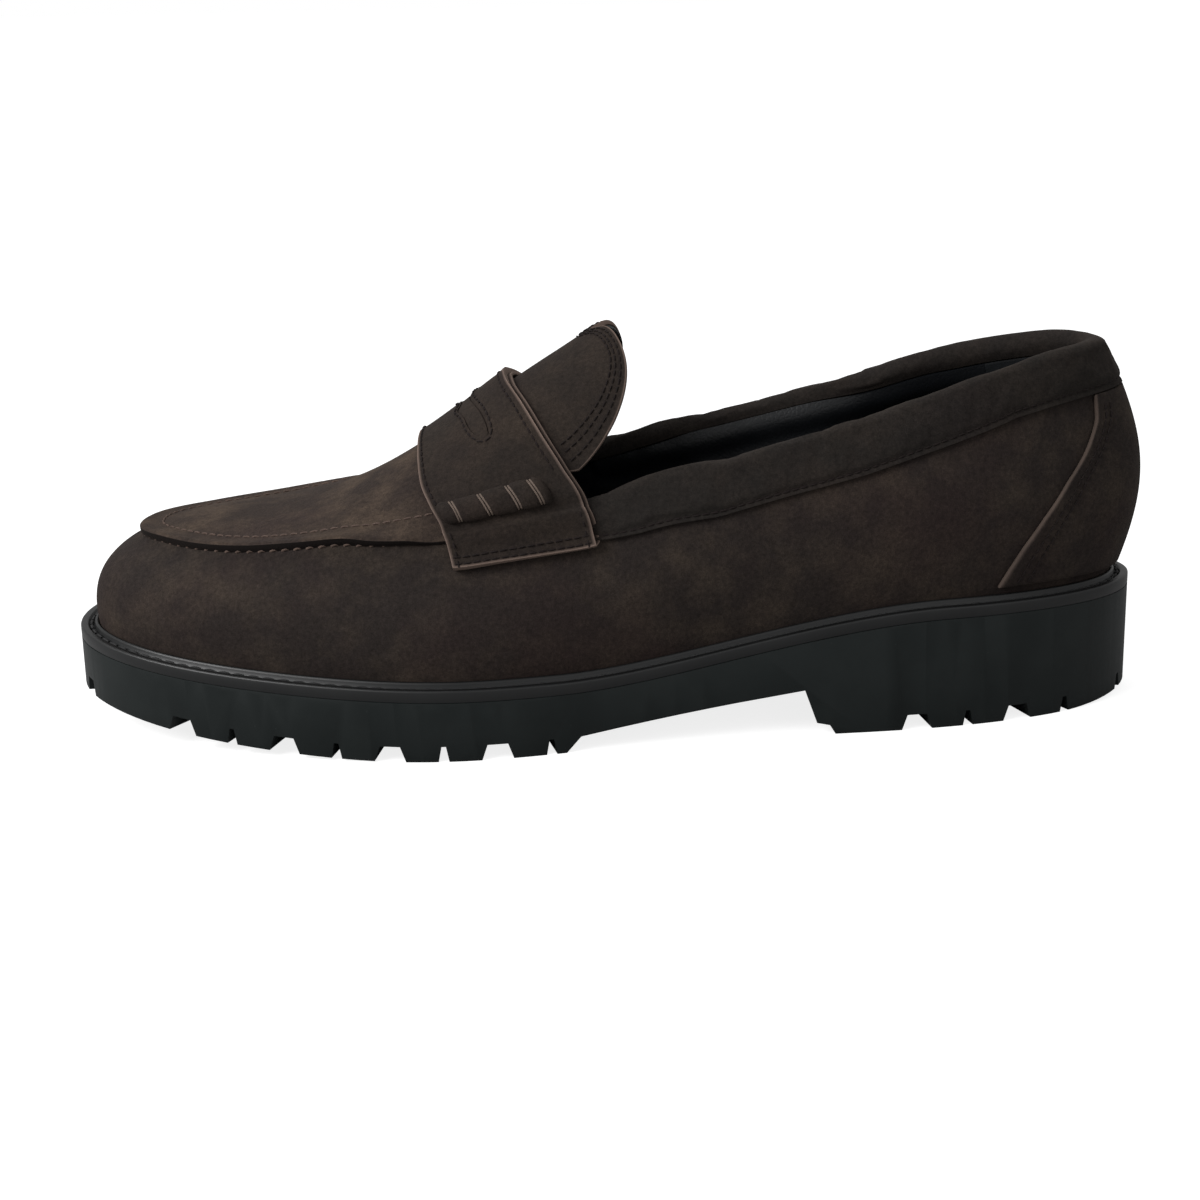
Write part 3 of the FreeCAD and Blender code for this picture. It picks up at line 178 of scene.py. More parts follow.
ridge_rise, arch, centre = profile(RIDGE, 1), profile(RIDGE, 2), profile(CENTRE_LINE, 1)
FORE_SEAT = FORE_THICKNESS + WELT_THICKNESS
outline_controls, top_controls = settle(STATIONS[:, 0:2]), settle(STATIONS[:, 2:4])
lean_controls = settle(STATIONS[:, 5:7])


def instep(x, y):
    return FORE_SEAT + ridge_rise(x) - (y - centre(x)) ** 2 / np.maximum(arch(x), 8.0)


def unit(v):
    return v / np.maximum(np.linalg.norm(v, axis=-1, keepdims=True), 1e-9)


def outline(u, inset=0.0):
    """Plan points of the sole's outline, moved inwards."""
    p = spline_at(outline_controls, u)
    u = np.asarray(u)
    d = unit(spline_at(outline_controls, u + 0.02) - spline_at(outline_controls, u - 0.02))
    inset = np.asarray(inset, float)
    return np.stack([p[..., 0] + d[..., 1] * inset, p[..., 1] - d[..., 0] * inset], -1)


def topline_rise(u):
    rises = np.where(STATIONS[:, 4] == 0, 46.0, STATIONS[:, 4])
    i = np.floor(u).astype(int)
    f = u - i
    a, b, c, d = (rises[(i + k) % COUNT] for k in (-1, 0, 1, 2))
    square, cube = 2 * a - 5 * b + 4 * c - d, 3 * b - a - 3 * c + d
    return 0.5 * (2 * b + (c - a) * f + square * f * f + cube * f ** 3)


def top_edge(u):
    u = np.asarray(u, float) % COUNT
    p = spline_at(top_controls, u)
    on_instep = instep(p[..., 0], p[..., 1])
    on_topline = sole_top(p[..., 0]) + WELT_THICKNESS + topline_rise(u)
    blend = smooth(np.where(u < 6, 6 - u, u - 20))
    blend = np.where((u >= 6) & (u <= 20), 0.0, blend)
    return np.concatenate([p, (on_instep * (1 - blend) + on_topline * blend)[..., None]], -1)


def wall_point(u, t):
    u, t = np.broadcast_arrays(np.asarray(u, float), np.asarray(t, float))
    low = outline(u, WELT_WIDTH)
    out = np.concatenate([unit(outline(u) - low), np.zeros(u.shape + (1,))], -1)
    low = np.concatenate([low, (sole_top(low[..., 0]) + WELT_THICKNESS)[..., None]], -1)
    high = top_edge(u)
    lean = np.radians(spline_at(lean_controls, u))
    handle = 0.45 * np.linalg.norm(high - low, axis=-1, keepdims=True)
    inward = high - low
    inward[..., 2] = 0
    inward = unit(inward)
    up = np.array([0.0, 0.0, 1.0])
    first = low + (out * np.sin(lean[..., :1]) + up * np.cos(lean[..., :1])) * handle
    second = high - (inward * np.sin(lean[..., 1:]) + up * np.cos(lean[..., 1:])) * handle
    t = t[..., None]
    s = 1 - t
    return low * s ** 3 + first * (3 * s * s * t) + second * (3 * s * t * t) + high * t ** 3


def wall(u, t, off=0.0):
    """The upper's side, from the welt (t 0) to its top edge (t 1), moved outwards by off."""
    u, t, off = np.broadcast_arrays(*(np.asarray(a, float) for a in (u, t, off)))
    inside = np.minimum(t, 1.0)
    along = wall_point(u + 0.03, inside) - wall_point(u - 0.03, inside)
    rise = wall_point(u, np.minimum(inside + 0.02, 1)) - wall_point(u, np.maximum(inside - 0.02, 0))
    normal = -unit(np.cross(along, rise))
    beyond = (wall_point(u, 1.0) - wall_point(u, 0.98)) * (np.maximum(t - 1, 0) / 0.02)[..., None]
    return wall_point(u, inside) + normal * off[..., None] + beyond


def crown(x, y, off=0.0):
    """The instep surface, moved outwards by off."""
    x, y, off = np.broadcast_arrays(*(np.asarray(a, float) for a in (x, y, off)))
    slope_x = (instep(x + 0.4, y) - instep(x - 0.4, y)) / 0.8
    slope_y = (instep(x, y + 0.4) - instep(x, y - 0.4)) / 0.8
    normal = unit(np.stack([-slope_x, -slope_y, np.ones(x.shape)], -1))
    return np.stack([x, y, instep(x, y)], -1) + normal * off[..., None]


def station_on_wall(x, t, outer):
    x, t, outer = np.broadcast_arrays(np.asarray(x, float), np.asarray(t, float), np.asarray(outer))
    low, high = np.where(outer, 0.5, COUNT - 0.5), np.full(x.shape, float(TOE))
    for _ in range(22):
        middle = (low + high) / 2
        short = wall_point(middle, t)[..., 0] < x
        low, high = np.where(short, middle, low), np.where(short, high, middle)
    return (low + high) / 2


def saddle(x, v, off=0.0):
    """Over the instep and down the walls: v is 0 at the ridge, 1 at the seam, 1.5 at the strap's foot."""
    x, v, off = np.broadcast_arrays(*(np.asarray(a, float) for a in (x, v, off)))
    outer, share = v >= 0, np.abs(v)
    t = np.where(share > 1, 1 - (share - 1) * 2 * STRAP_DROP, 1.0)
    u = station_on_wall(x, t, outer)
    middle = centre(x)
    on_crown = crown(x, middle + (top_edge(u)[..., 1] - middle) * np.minimum(share, 1.0), off)
    return np.where((share > 1)[..., None], wall(u, t, off), on_crown)


strap_front, strap_rear = profile(STRAP_EDGES, 1), profile(STRAP_EDGES, 2)
APRON_TOP = GAP + LEATHER
STRAP_TOP = STRAP_LINING + GAP + STRAP_LEATHER
STRAP_FACE = APRON_TOP + GAP + STRAP_TOP
ROLL_FOOT = STRAP_TOP + 0.42
TONGUE_TOP = APRON_TOP - TONGUE_SINK


def strap_base(v):
    return APRON_TOP + GAP - APRON_TOP * smooth((np.abs(v) - 1.08) / 0.24)


def strap_point(f, v, off):
    """A point on the strap: f 0 at its rear edge and 1 at its front."""
    rear, front = strap_rear(np.abs(v)), strap_front(np.abs(v))
    return saddle(rear + (front - rear) * f, v, strap_base(v) + off)


def ripple(p, seed, size):
    """Smooth pseudo-random height at points, from a few crossed waves of about this size."""
    rng = np.random.default_rng(seed)
    total = np.zeros(p.shape[:-1])
    for _ in range(7):
        direction = unit(rng.normal(size=3))
        total += np.sin(p @ direction * (2 * math.pi / (size * rng.uniform(0.7, 1.6))) + rng.uniform(0, 6.28))
    return total / 4


def spread(start, end, count, tight=0.0):
    """Values from start to end; tight packs them near both ends."""
    s = np.linspace(0, 1, count)
    return start + (end - start) * ((1 - tight) * s + tight * smooth(s))


# ---- meshes ---------------------------------------------------------------------------------------------
def squares(grid):
    """Four-sided faces between the neighbours of a grid of vertex numbers."""
    return np.stack([grid[:-1, :-1], grid[1:, :-1], grid[1:, 1:], grid[:-1, 1:]], -1).reshape(-1, 4)


def set_values(attribute, key, values):
    attribute.data.foreach_set(key, np.asarray(values, np.float32).ravel())


def show(piece):
    bpy.context.scene.collection.objects.link(piece)
    return piece


def object_from(name, points, faces, rim=None):
    mesh = bpy.data.meshes.new(name)
    mesh.from_pydata(((np.asarray(points).reshape(-1, 3) + SHIFT) / 1000).tolist(), [], faces)
    if rim is not None:
        set_values(mesh.attributes.new("rim", "FLOAT", "POINT"), "value", rim)
    mesh.polygons.foreach_set("use_smooth", [True] * len(mesh.polygons))
    return show(bpy.data.objects.new(name, mesh))


def shell(name, outer, inner, closed=False, rim_width=0.9, rims="uv"):
    """Closed sheet between an outer and an inner grid of points. rims names the edges that are cut leather:
    u for the first and last rows, v for the first and last columns."""
    outer, inner = np.asarray(outer), np.asarray(inner)
    rows, columns = outer.shape[:2]
    grid = np.arange(rows * columns).reshape(rows, columns)
    wrapped = np.vstack([grid, grid[:1]]) if closed else grid
    quads = squares(wrapped)
    i, j = rows // 2, columns // 2
    spot = outer[i, j]
    facing = np.cross(outer[i + 1, j] - spot, outer[i, j + 1] - spot) @ (spot - inner[i, j])
    shift = rows * columns
    edges = [(wrapped[:-1, 0], wrapped[1:, 0]), (wrapped[1:, -1], wrapped[:-1, -1])]
    if not closed:
        edges += [(grid[0, 1:], grid[0, :-1]), (grid[-1, :-1], grid[-1, 1:])]
    sides = [np.stack([p, p + shift, q + shift, q], -1) for p, q in edges]
    faces = np.vstack([quads, quads[:, ::-1] + shift] + sides)
    if facing < 0:
        faces = faces[:, ::-1]
    rim = np.zeros((2, rows, columns))
    for layer, points in enumerate((outer, inner)):
        away = np.full((rows, columns), 99.0)
        for axis, edge in ((1, "v"), (0, "u")):
            if edge in rims and not (closed and edge == "u"):
                steps = np.linalg.norm(np.diff(points, axis=axis), axis=-1)
                run = np.cumsum(np.insert(steps, 0, 0.0, axis=axis), axis=axis)
                away = np.minimum(away, np.minimum(run, np.take(run, [-1], axis=axis) - run))
        rim[layer] = np.clip(1 - away / rim_width, 0, 1)
    both = np.concatenate([outer.reshape(-1, 3), inner.reshape(-1, 3)])
    return object_from(name, both, faces.tolist(), rim)


def tube_faces(count, around, closed, first=0):
    """Faces of a tube of rings, with its ends filled unless it is closed on itself."""
    grid = first + np.arange(count * around).reshape(count, around)
    grid = np.hstack([grid, grid[:, :1]])
    if closed:
        return squares(np.vstack([grid, grid[:1]])).tolist()
    return squares(grid).tolist() + [grid[0, :-1][::-1].tolist(), grid[-1, :-1].tolist()]


def section_ring(name, rings, closed=True):
    """Solid swept through rings of points that each run round a closed section."""
    rings = np.asarray(rings)
    piece = object_from(name, rings, tube_faces(*rings.shape[:2], closed))
    face_outwards(piece)
    return piece


def face_outwards(piece, merge=0.0, fill=False):
    work = bmesh.new()
    work.from_mesh(piece.data)
    if merge:
        bmesh.ops.remove_doubles(work, verts=work.verts, dist=merge / 1000)
        bmesh.ops.dissolve_degenerate(work, dist=1e-7, edges=work.edges)
    if fill:
        bmesh.ops.holes_fill(work, edges=work.edges, sides=0)
    bmesh.ops.recalc_face_normals(work, faces=work.faces)
    work.to_mesh(piece.data)
    work.free()
    piece.data.polygons.foreach_set("use_smooth", [True] * len(piece.data.polygons))


def soften(piece, width=0.3, angle=40, segments=2):
    """Rounds a piece's hard edges by this many millimetres."""
    bevel = piece.modifiers.new("soft_edge", "BEVEL")
    bevel.width, bevel.segments = width / 1000, segments
    bevel.limit_method, bevel.angle_limit = "ANGLE", math.radians(angle)
    bevel.harden_normals = False
    bake(piece)


def bake(piece):
    """Turns the piece and its modifiers into a plain mesh."""
    graph = bpy.context.evaluated_depsgraph_get()
    plain = bpy.data.meshes.new_from_object(piece.evaluated_get(graph))
    piece.modifiers.clear()
    piece.data = plain
    plain.polygons.foreach_set("use_smooth", [True] * len(plain.polygons))


def finish_piece(piece, body, material, stands_for=(), sharp=50):
    piece.data.set_sharp_from_angle(angle=math.radians(sharp))
    piece.data.materials.clear()
    piece.data.materials.append(material)
    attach(piece, body)
    if stands_for:
        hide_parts(*stands_for)
    return piece


# ---- shader groups --------------------------------------------------------------------------------------
COLOUR, FLOAT = "NodeSocketColor", "NodeSocketFloat"


def new_group(name, **inputs):
    """A finish's group, its input sockets, its output node and its object coordinates."""
    group = bpy.data.node_groups.new(name, "ShaderNodeTree")
    for label, value in inputs.items():
        kind = COLOUR if isinstance(value, tuple) else FLOAT
        socket = group.interface.new_socket(label.replace("_", " "), in_out="INPUT", socket_type=kind)
        socket.default_value = value
    for label, kind in (("Color", COLOUR), ("Roughness", FLOAT), ("Height", FLOAT)):
        group.interface.new_socket(label, in_out="OUTPUT", socket_type=kind)
    given, result = group.nodes.new("NodeGroupInput"), group.nodes.new("NodeGroupOutput")
    return group, given.outputs, result, add_node(group, "ShaderNodeTexCoord").outputs["Object"]


def add_node(tree, kind, settings=None, **values):
    node = tree.nodes.new(kind)
    for key, value in (settings or {}).items():
        setattr(node, key, value)
    for key, value in values.items():
        socket = node.inputs[key.replace("_", " ")]
        if isinstance(value, bpy.types.NodeSocket):
            tree.links.new(value, socket)
        else:
            socket.default_value = value
    return node


def noise(tree, place, scale, detail=3.0, roughness=0.5):
    return add_node(tree, "ShaderNodeTexNoise", Vector=place, Scale=scale, Detail=detail,
                    Roughness=roughness).outputs["Fac"]


def blend_colour(tree, factor, a, b, mode="MIX"):
    node = tree.nodes.new("ShaderNodeMix")
    node.data_type, node.blend_type = "RGBA", mode
    for index, value in ((0, factor), (6, a), (7, b)):
        if isinstance(value, bpy.types.NodeSocket):
            tree.links.new(value, node.inputs[index])
        else:
            node.inputs[index].default_value = value
    return node.outputs[2]


def number(tree, operation, a, b=0.0, c=0.0):
    node = tree.nodes.new("ShaderNodeMath")
    node.operation = operation
    for index, value in enumerate((a, b, c)):
        if isinstance(value, bpy.types.NodeSocket):
            tree.links.new(value, node.inputs[index])
        else:
            node.inputs[index].default_value = value
    return node.outputs[0]


def scaled(tree, value, factor, plus=0.0):
    return number(tree, "MULTIPLY_ADD", value, factor, plus)


def darken(tree, colour, light):
    """The colour times a grey value."""
    grey = add_node(tree, "ShaderNodeCombineColor", Red=light, Green=light, Blue=light).outputs[0]
    return blend_colour(tree, 1.0, colour, grey, "MULTIPLY")


def hand_out(group, result, colour, roughness, height):
    for label, socket in (("Color", colour), ("Roughness", roughness), ("Height", height)):
        group.links.new(socket, result.inputs[label])
    return group


def band(tree, value, low, high):
    """0 below low, 1 above high."""
    return add_node(tree, "ShaderNodeMapRange", {"clamp": True}, Value=value, From_Min=low,
                    From_Max=high).outputs["Result"]


def make_nap():
    """Brushed nubuck: soft mottling, paler smudges where the nap lies over, warm patches, and an edge colour
    on the rim: paler raw cut edges on most pieces, painted shade on the apron's lip face.
    """
    group, value, result, place = new_group(
        "nubuck_nap", Base=(0.05, 0.04, 0.03, 1), Smudge=(0.1, 0.09, 0.08, 1), Warm=(0.06, 0.03, 0.03, 1),
        Cut_Edge=(0.2, 0.15, 0.13, 1), Smudge_Amount=0.5, Edge_Amount=0.0)
    broad = noise(group, place, 22.0, 4.0, 0.55)
    cloudy = noise(group, place, 75.0, 5.0, 0.6)
    nap = noise(group, place, 900.0, 4.0, 0.65)
    fibre = noise(group, place, 3600.0, 2.0, 0.5)
    smudged = number(group, "MULTIPLY", band(group, cloudy, 0.42, 0.72), value["Smudge Amount"])
    shade = blend_colour(group, smudged, value["Base"], value["Smudge"])
    warmed = number(group, "MULTIPLY", band(group, broad, 0.45, 0.7), 0.55)
    shade = blend_colour(group, warmed, shade, value["Warm"])
    speckle = scaled(group, nap, 1.5, 0.25)
    shade = darken(group, shade, number(group, "MULTIPLY", speckle,
                                        scaled(group, fibre, 0.9, 0.55)))
    rim = add_node(group, "ShaderNodeAttribute", {"attribute_name": "rim"}).outputs["Fac"]
    # the rim mixes in the edge colour: paler raw cut edges, and on the apron painted shade on its lip's cut
    # face
    edge_and_shade_share = number(group, "MULTIPLY", rim, scaled(group, cloudy, 0.9, 0.35))
    edge_and_shade_share = number(group, "MINIMUM", number(group, "MULTIPLY", edge_and_shade_share, value["Edge Amount"]), 1.0)
    shade = blend_colour(group, edge_and_shade_share, shade, value["Cut Edge"])
    height = number(group, "ADD", number(group, "MULTIPLY", nap, 0.6), number(group, "MULTIPLY", fibre, 0.4))
    return hand_out(group, result, shade, scaled(group, cloudy, 0.12, 0.82), height)


def make_grain():
    """Smooth leather grain: small cells with creases between, over a slow change of shine."""
    group, value, result, place = new_group("leather_grain", Base=(0.01, 0.01, 0.01, 1), Cells=900.0,
                                            Shine=0.45)
    cells = add_node(group, "ShaderNodeTexVoronoi", {"feature": "DISTANCE_TO_EDGE"}, Vector=place,
                     Scale=value["Cells"]).outputs["Distance"]
    slow = noise(group, place, 60.0, 4.0)
    fine = noise(group, place, 1400.0, 3.0)
    shade = darken(group, value["Base"], scaled(group, slow, 0.8, 0.6))
    height = number(group, "ADD", band(group, cells, 0.0, 0.25), number(group, "MULTIPLY", fine, 0.4))
    return hand_out(group, result, shade, scaled(group, slow, 0.25, value["Shine"]), height)


def make_moulding():
    """Moulded rubber: faint flow marks, a fine matt skin and a little dust in scattered patches and specks.
    """
    group, value, result, place = new_group("moulded_skin", Base=(0.02, 0.02, 0.02, 1),
                                            Dust=(0.1, 0.1, 0.09, 1), Shine=0.4)
    stretched = add_node(group, "ShaderNodeMapping", Vector=place, Scale=(1.0, 1.0, 1.6)).outputs["Vector"]
    flow = noise(group, stretched, 60.0, 4.0)
    skin = noise(group, place, 2600.0, 3.0)
    patch = noise(group, place, 45.0, 5.0, 0.6)
    specks = band(group, noise(group, place, 700.0, 1.0), 0.78, 0.84)
    dusty = number(group, "ADD", number(group, "MULTIPLY", band(group, patch, 0.45, 0.8), 0.12),
                   number(group, "MULTIPLY", specks, 0.25))
    shade = blend_colour(group, dusty, value["Base"], value["Dust"])
    rough = scaled(group, flow, 0.14, value["Shine"])
    height = number(group, "ADD", number(group, "MULTIPLY", skin, 0.5), flow)
    return hand_out(group, result, shade, scaled(group, patch, 0.1, rough), height)


def make_twist():
    """Spun thread: a fine crossed twist, and strands that differ in tone."""
    group, value, result, place = new_group("thread_twist", Base=(0.1, 0.08, 0.07, 1), Twist=5200.0)
    wave = add_node(group, "ShaderNodeTexWave", {"bands_direction": "DIAGONAL"}, Vector=place,
                    Scale=value["Twist"], Distortion=1.5).outputs["Fac"]
    tone = noise(group, place, 260.0, 2.0)
    light = number(group, "MULTIPLY", scaled(group, wave, 0.5, 0.7),
                   scaled(group, tone, 0.9, 0.55))
    shade = darken(group, value["Base"], light)
    return hand_out(group, result, shade, scaled(group, tone, 0.1, 0.68), wave)


def make_weave():
    """Plain woven or pressed sheet: crossed threads or fibres."""
    group, value, result, place = new_group("sheet_weave", Base=(0.1, 0.1, 0.1, 1), Threads=900.0)
    waves = [add_node(group, "ShaderNodeTexWave", {"bands_direction": axis}, Vector=place, Distortion=0.6,
                      Scale=value["Threads"]).outputs["Fac"] for axis in ("X", "Y", "Z")]
    weave = number(group, "MULTIPLY", number(group, "ADD", waves[0], waves[2]), waves[1])
    tone = scaled(group, noise(group, place, 120.0), 0.5, 0.6)
    shade = darken(group, value["Base"], scaled(group, weave, 0.35, tone))
    return hand_out(group, result, shade, scaled(group, tone, 0.1, 0.75), weave)


def finish_of(name, group, bump, depth, shader, **values):
    """A material: the group's colour, roughness and height on a Principled shader. depth is in mm."""
    material = bpy.data.materials.new(name)
    material.use_nodes = True
    tree = material.node_tree
    main = tree.nodes["Principled BSDF"]
    effect = tree.nodes.new("ShaderNodeGroup")
    effect.node_tree = group
    for key, value in values.items():
        effect.inputs[key.replace("_", " ")].default_value = value
    tree.links.new(effect.outputs["Color"], main.inputs["Base Color"])
    tree.links.new(effect.outputs["Roughness"], main.inputs["Roughness"])
    relief = tree.nodes.new("ShaderNodeBump")
    relief.inputs["Strength"].default_value = bump
    relief.inputs["Distance"].default_value = depth / 1000
    tree.links.new(effect.outputs["Height"], relief.inputs["Height"])
    tree.links.new(relief.outputs["Normal"], main.inputs["Normal"])
    for key, value in shader.items():
        main.inputs[key].default_value = value
    return material


def rgb(r, g, b):
    """Linear colour from display values out of 255."""
    return tuple(((c / 255) / 12.92 if c / 255 <= 0.04045 else ((c / 255 + 0.055) / 1.055) ** 2.4)
                 for c in (r, g, b)) + (1.0,)


nap, grain, moulding, twist, weave = make_nap(), make_grain(), make_moulding(), make_twist(), make_weave()
SUEDE = {"Sheen Weight": 0.08, "Sheen Roughness": 0.4, "Sheen Tint": rgb(150, 132, 118),
         "Specular IOR Level": 0.1}
GLAZED = {"Specular IOR Level": 0.42}
MOULDED = {"Specular IOR Level": 0.22}
MATT = {"Specular IOR Level": 0.12}
nubuck = finish_of("nubuck", nap, 0.7, 0.25, SUEDE, Base=rgb(36, 31, 29), Smudge=rgb(58, 50, 43),
                   Warm=rgb(40, 30, 29), Cut_Edge=rgb(78, 67, 61), Smudge_Amount=0.7, Edge_Amount=1.0)
# apron: its dark edge colour is painted shade on the lip's cut face
apron_nubuck = finish_of("apron_nubuck", nap, 0.7, 0.28, SUEDE, Base=rgb(41, 34, 31), Smudge=rgb(69, 58, 49),
                         Warm=rgb(50, 39, 37), Cut_Edge=rgb(17, 13, 12), Smudge_Amount=0.85, Edge_Amount=1.6)
collar_nubuck = finish_of("collar_nubuck", nap, 0.7, 0.22, SUEDE, Base=rgb(30, 27, 25),
                          Smudge=rgb(44, 38, 34), Warm=rgb(30, 25, 24), Smudge_Amount=0.6, Edge_Amount=0.0)
strap_nubuck = finish_of("strap_nubuck", nap, 0.7, 0.25, SUEDE, Base=rgb(34, 29, 26), Smudge=rgb(51, 43, 37),
                         Warm=rgb(36, 28, 26), Cut_Edge=rgb(106, 91, 83), Smudge_Amount=0.6, Edge_Amount=1.25)
black_leather = finish_of("lining_leather", grain, 0.3, 0.12, {"Specular IOR Level": 0.3},
                          Base=rgb(10, 12, 15), Cells=700.0, Shine=0.34)
grip_suede = finish_of("grip_suede", nap, 0.6, 0.25, SUEDE, Base=rgb(19, 21, 23), Smudge=rgb(30, 33, 36),
                       Warm=rgb(21, 21, 23))
rubber = finish_of("sole_rubber", moulding, 0.12, 0.08, MOULDED, Base=rgb(17, 22, 22), Dust=rgb(52, 57, 56),
                   Shine=0.34)
welt_rubber = finish_of("welt_rubber", moulding, 0.2, 0.1, GLAZED, Base=rgb(8, 9, 10), Dust=rgb(42, 44, 44),
                        Shine=0.3)
seam_thread = finish_of("seam_thread", twist, 0.4, 0.1, MATT, Base=rgb(28, 22, 21))
apron_thread = finish_of("apron_thread", twist, 0.4, 0.12, MATT, Base=rgb(84, 70, 63))
roll_thread = finish_of("roll_thread", twist, 0.4, 0.12, MATT, Base=rgb(96, 84, 76))
welt_thread = finish_of("welt_thread", twist, 0.4, 0.12, GLAZED, Base=rgb(24, 24, 25))
textile = finish_of("lining_cloth", weave, 0.3, 0.1, MATT, Base=rgb(30, 31, 33), Threads=1500.0)
board = finish_of("insole_board", weave, 0.2, 0.1, MATT, Base=rgb(150, 120, 88), Threads=500.0)
cork = finish_of("cork", weave, 0.4, 0.3, MATT, Base=rgb(158, 118, 78), Threads=220.0)
canvas = finish_of("interlining", weave, 0.3, 0.15, MATT, Base=rgb(178, 170, 155), Threads=1100.0)
puff = finish_of("stiffener_sheet", weave, 0.1, 0.05, MATT, Base=rgb(64, 62, 60), Threads=700.0)
steel = finish_of("shank_steel", moulding, 0.1, 0.05, {"Metallic": 1.0}, Base=rgb(170, 172, 174),
                  Dust=rgb(120, 112, 100), Shine=0.3)


# ---- stitches: one tree for every seam ------------------------------------------------------------------
def make_stitcher():
    tree = bpy.data.node_groups.new("stitch_row", "GeometryNodeTree")
    tree.interface.new_socket("Geometry", in_out="INPUT", socket_type="NodeSocketGeometry")
    for label, value in (("Pitch", 0.003), ("Length", 0.002), ("Thickness", 0.0004), ("Hump", 0.0003),
                         ("Slant", 0.0)):
        tree.interface.new_socket(label, in_out="INPUT", socket_type="NodeSocketFloat").default_value = value
    tree.interface.new_socket("Thread", in_out="INPUT", socket_type="NodeSocketMaterial")
    tree.interface.new_socket("Geometry", in_out="OUTPUT", socket_type="NodeSocketGeometry")
    given, result = tree.nodes.new("NodeGroupInput"), tree.nodes.new("NodeGroupOutput")
    value = given.outputs

    def node(kind, settings=None, **links):
        made = tree.nodes.new(kind)
        for key, setting in (settings or {}).items():
            setattr(made, key, setting)
        for key, socket in links.items():
            tree.links.new(socket, made.inputs[int(key[1:])] if key[0] == "i" and key[1:].isdigit()
                           else made.inputs[key])
        return made

    path = node("GeometryNodeMeshToCurve", Mesh=value["Geometry"])
    spots = node("GeometryNodeResampleCurve", {"mode": "LENGTH"}, Curve=path.outputs[0])
    tree.links.new(value["Pitch"], spots.inputs["Length"])
    up = node("GeometryNodeInputNamedAttribute", {"data_type": "FLOAT_VECTOR"})
    up.inputs["Name"].default_value = "up"
    tangent = node("GeometryNodeInputTangent")
    turn = node("FunctionNodeAxesToRotation", {"primary_axis": "Z", "secondary_axis": "X"},
                i0=up.outputs["Attribute"], i1=tangent.outputs[0])
    start = node("ShaderNodeCombineXYZ", X=number(tree, "MULTIPLY", value["Length"], -0.5))
    middle = node("ShaderNodeCombineXYZ", Z=number(tree, "MULTIPLY", value["Hump"], 2.0))
    end = node("ShaderNodeCombineXYZ", X=number(tree, "MULTIPLY", value["Length"], 0.5))
    bow = node("GeometryNodeCurveQuadraticBezier", Start=start.outputs[0], Middle=middle.outputs[0],
               End=end.outputs[0])
    bow.inputs["Resolution"].default_value = 5
    ring = node("GeometryNodeCurvePrimitiveCircle", Radius=value["Thickness"])
    ring.inputs["Resolution"].default_value = 6
    one = node("GeometryNodeCurveToMesh", Curve=bow.outputs[0])
    tree.links.new(ring.outputs["Curve"], one.inputs["Profile Curve"])
    one.inputs["Fill Caps"].default_value = True
    row = node("GeometryNodeInstanceOnPoints", Points=spots.outputs[0], Instance=one.outputs[0],
               Rotation=turn.outputs[0])
    lean = node("ShaderNodeCombineXYZ", Z=value["Slant"])
    slanted = node("GeometryNodeRotateInstances", Instances=row.outputs[0], Rotation=lean.outputs[0])
    real = node("GeometryNodeRealizeInstances", Geometry=slanted.outputs[0])
    round_ = node("GeometryNodeSetShadeSmooth", Geometry=real.outputs[0])
    dressed = node("GeometryNodeSetMaterial", Geometry=round_.outputs[0], Material=value["Thread"])
    tree.links.new(dressed.outputs[0], result.inputs[0])
    return tree


stitcher = make_stitcher()


def stitch(name, rows, body, material, stands_for=(), pitch=2.5, length=1.8, thickness=0.26, hump=0.2,
           slant=0.0):
    """Rows of stitches. Each row is (points, directions away from the surface), in millimetres."""
    points, edges, ups = [], [], []
    for line, normals in rows:
        first = len(points)
        points += ((np.asarray(line) + SHIFT) / 1000).tolist()
        ups.append(np.asarray(normals))
        edges += [(first + k, first + k + 1) for k in range(len(line) - 1)]
    mesh = bpy.data.meshes.new(name)
    mesh.from_pydata(points, edges, [])
    set_values(mesh.attributes.new("up", "FLOAT_VECTOR", "POINT"), "vector", np.vstack(ups))
    piece = show(bpy.data.objects.new(name, mesh))
    maker = piece.modifiers.new("stitches", "NODES")
    maker.node_group = stitcher
    settings = {"Pitch": pitch / 1000, "Length": length / 1000, "Thickness": thickness / 1000,
                "Hump": hump / 1000, "Slant": slant, "Thread": material}
    for item in stitcher.interface.items_tree:
        if item.in_out == "INPUT" and item.name in settings:
            maker[item.identifier] = settings[item.name]
    bake(piece)
    return finish_piece(piece, body, material, stands_for, sharp=80)


def line_on(surface, path, lift):
    """Points and normals of a line on a surface, from its surface coordinates."""
    a, b = np.asarray(path, float).T
    base = surface(a, b, 0.0)
    normal = unit(surface(a, b, 1.0) - base)
    return base + normal * lift, normal


# ---- the upper ------------------------------------------------------------------------------------------
def seam_run(u):
    """Length along the top edge from station 7, in millimetres."""
    fine = np.linspace(7, 19, 1201)
    run = np.concatenate([[0], np.cumsum(np.linalg.norm(np.diff(top_edge(fine), axis=0), axis=-1))])
    return np.interp(u, fine, run)


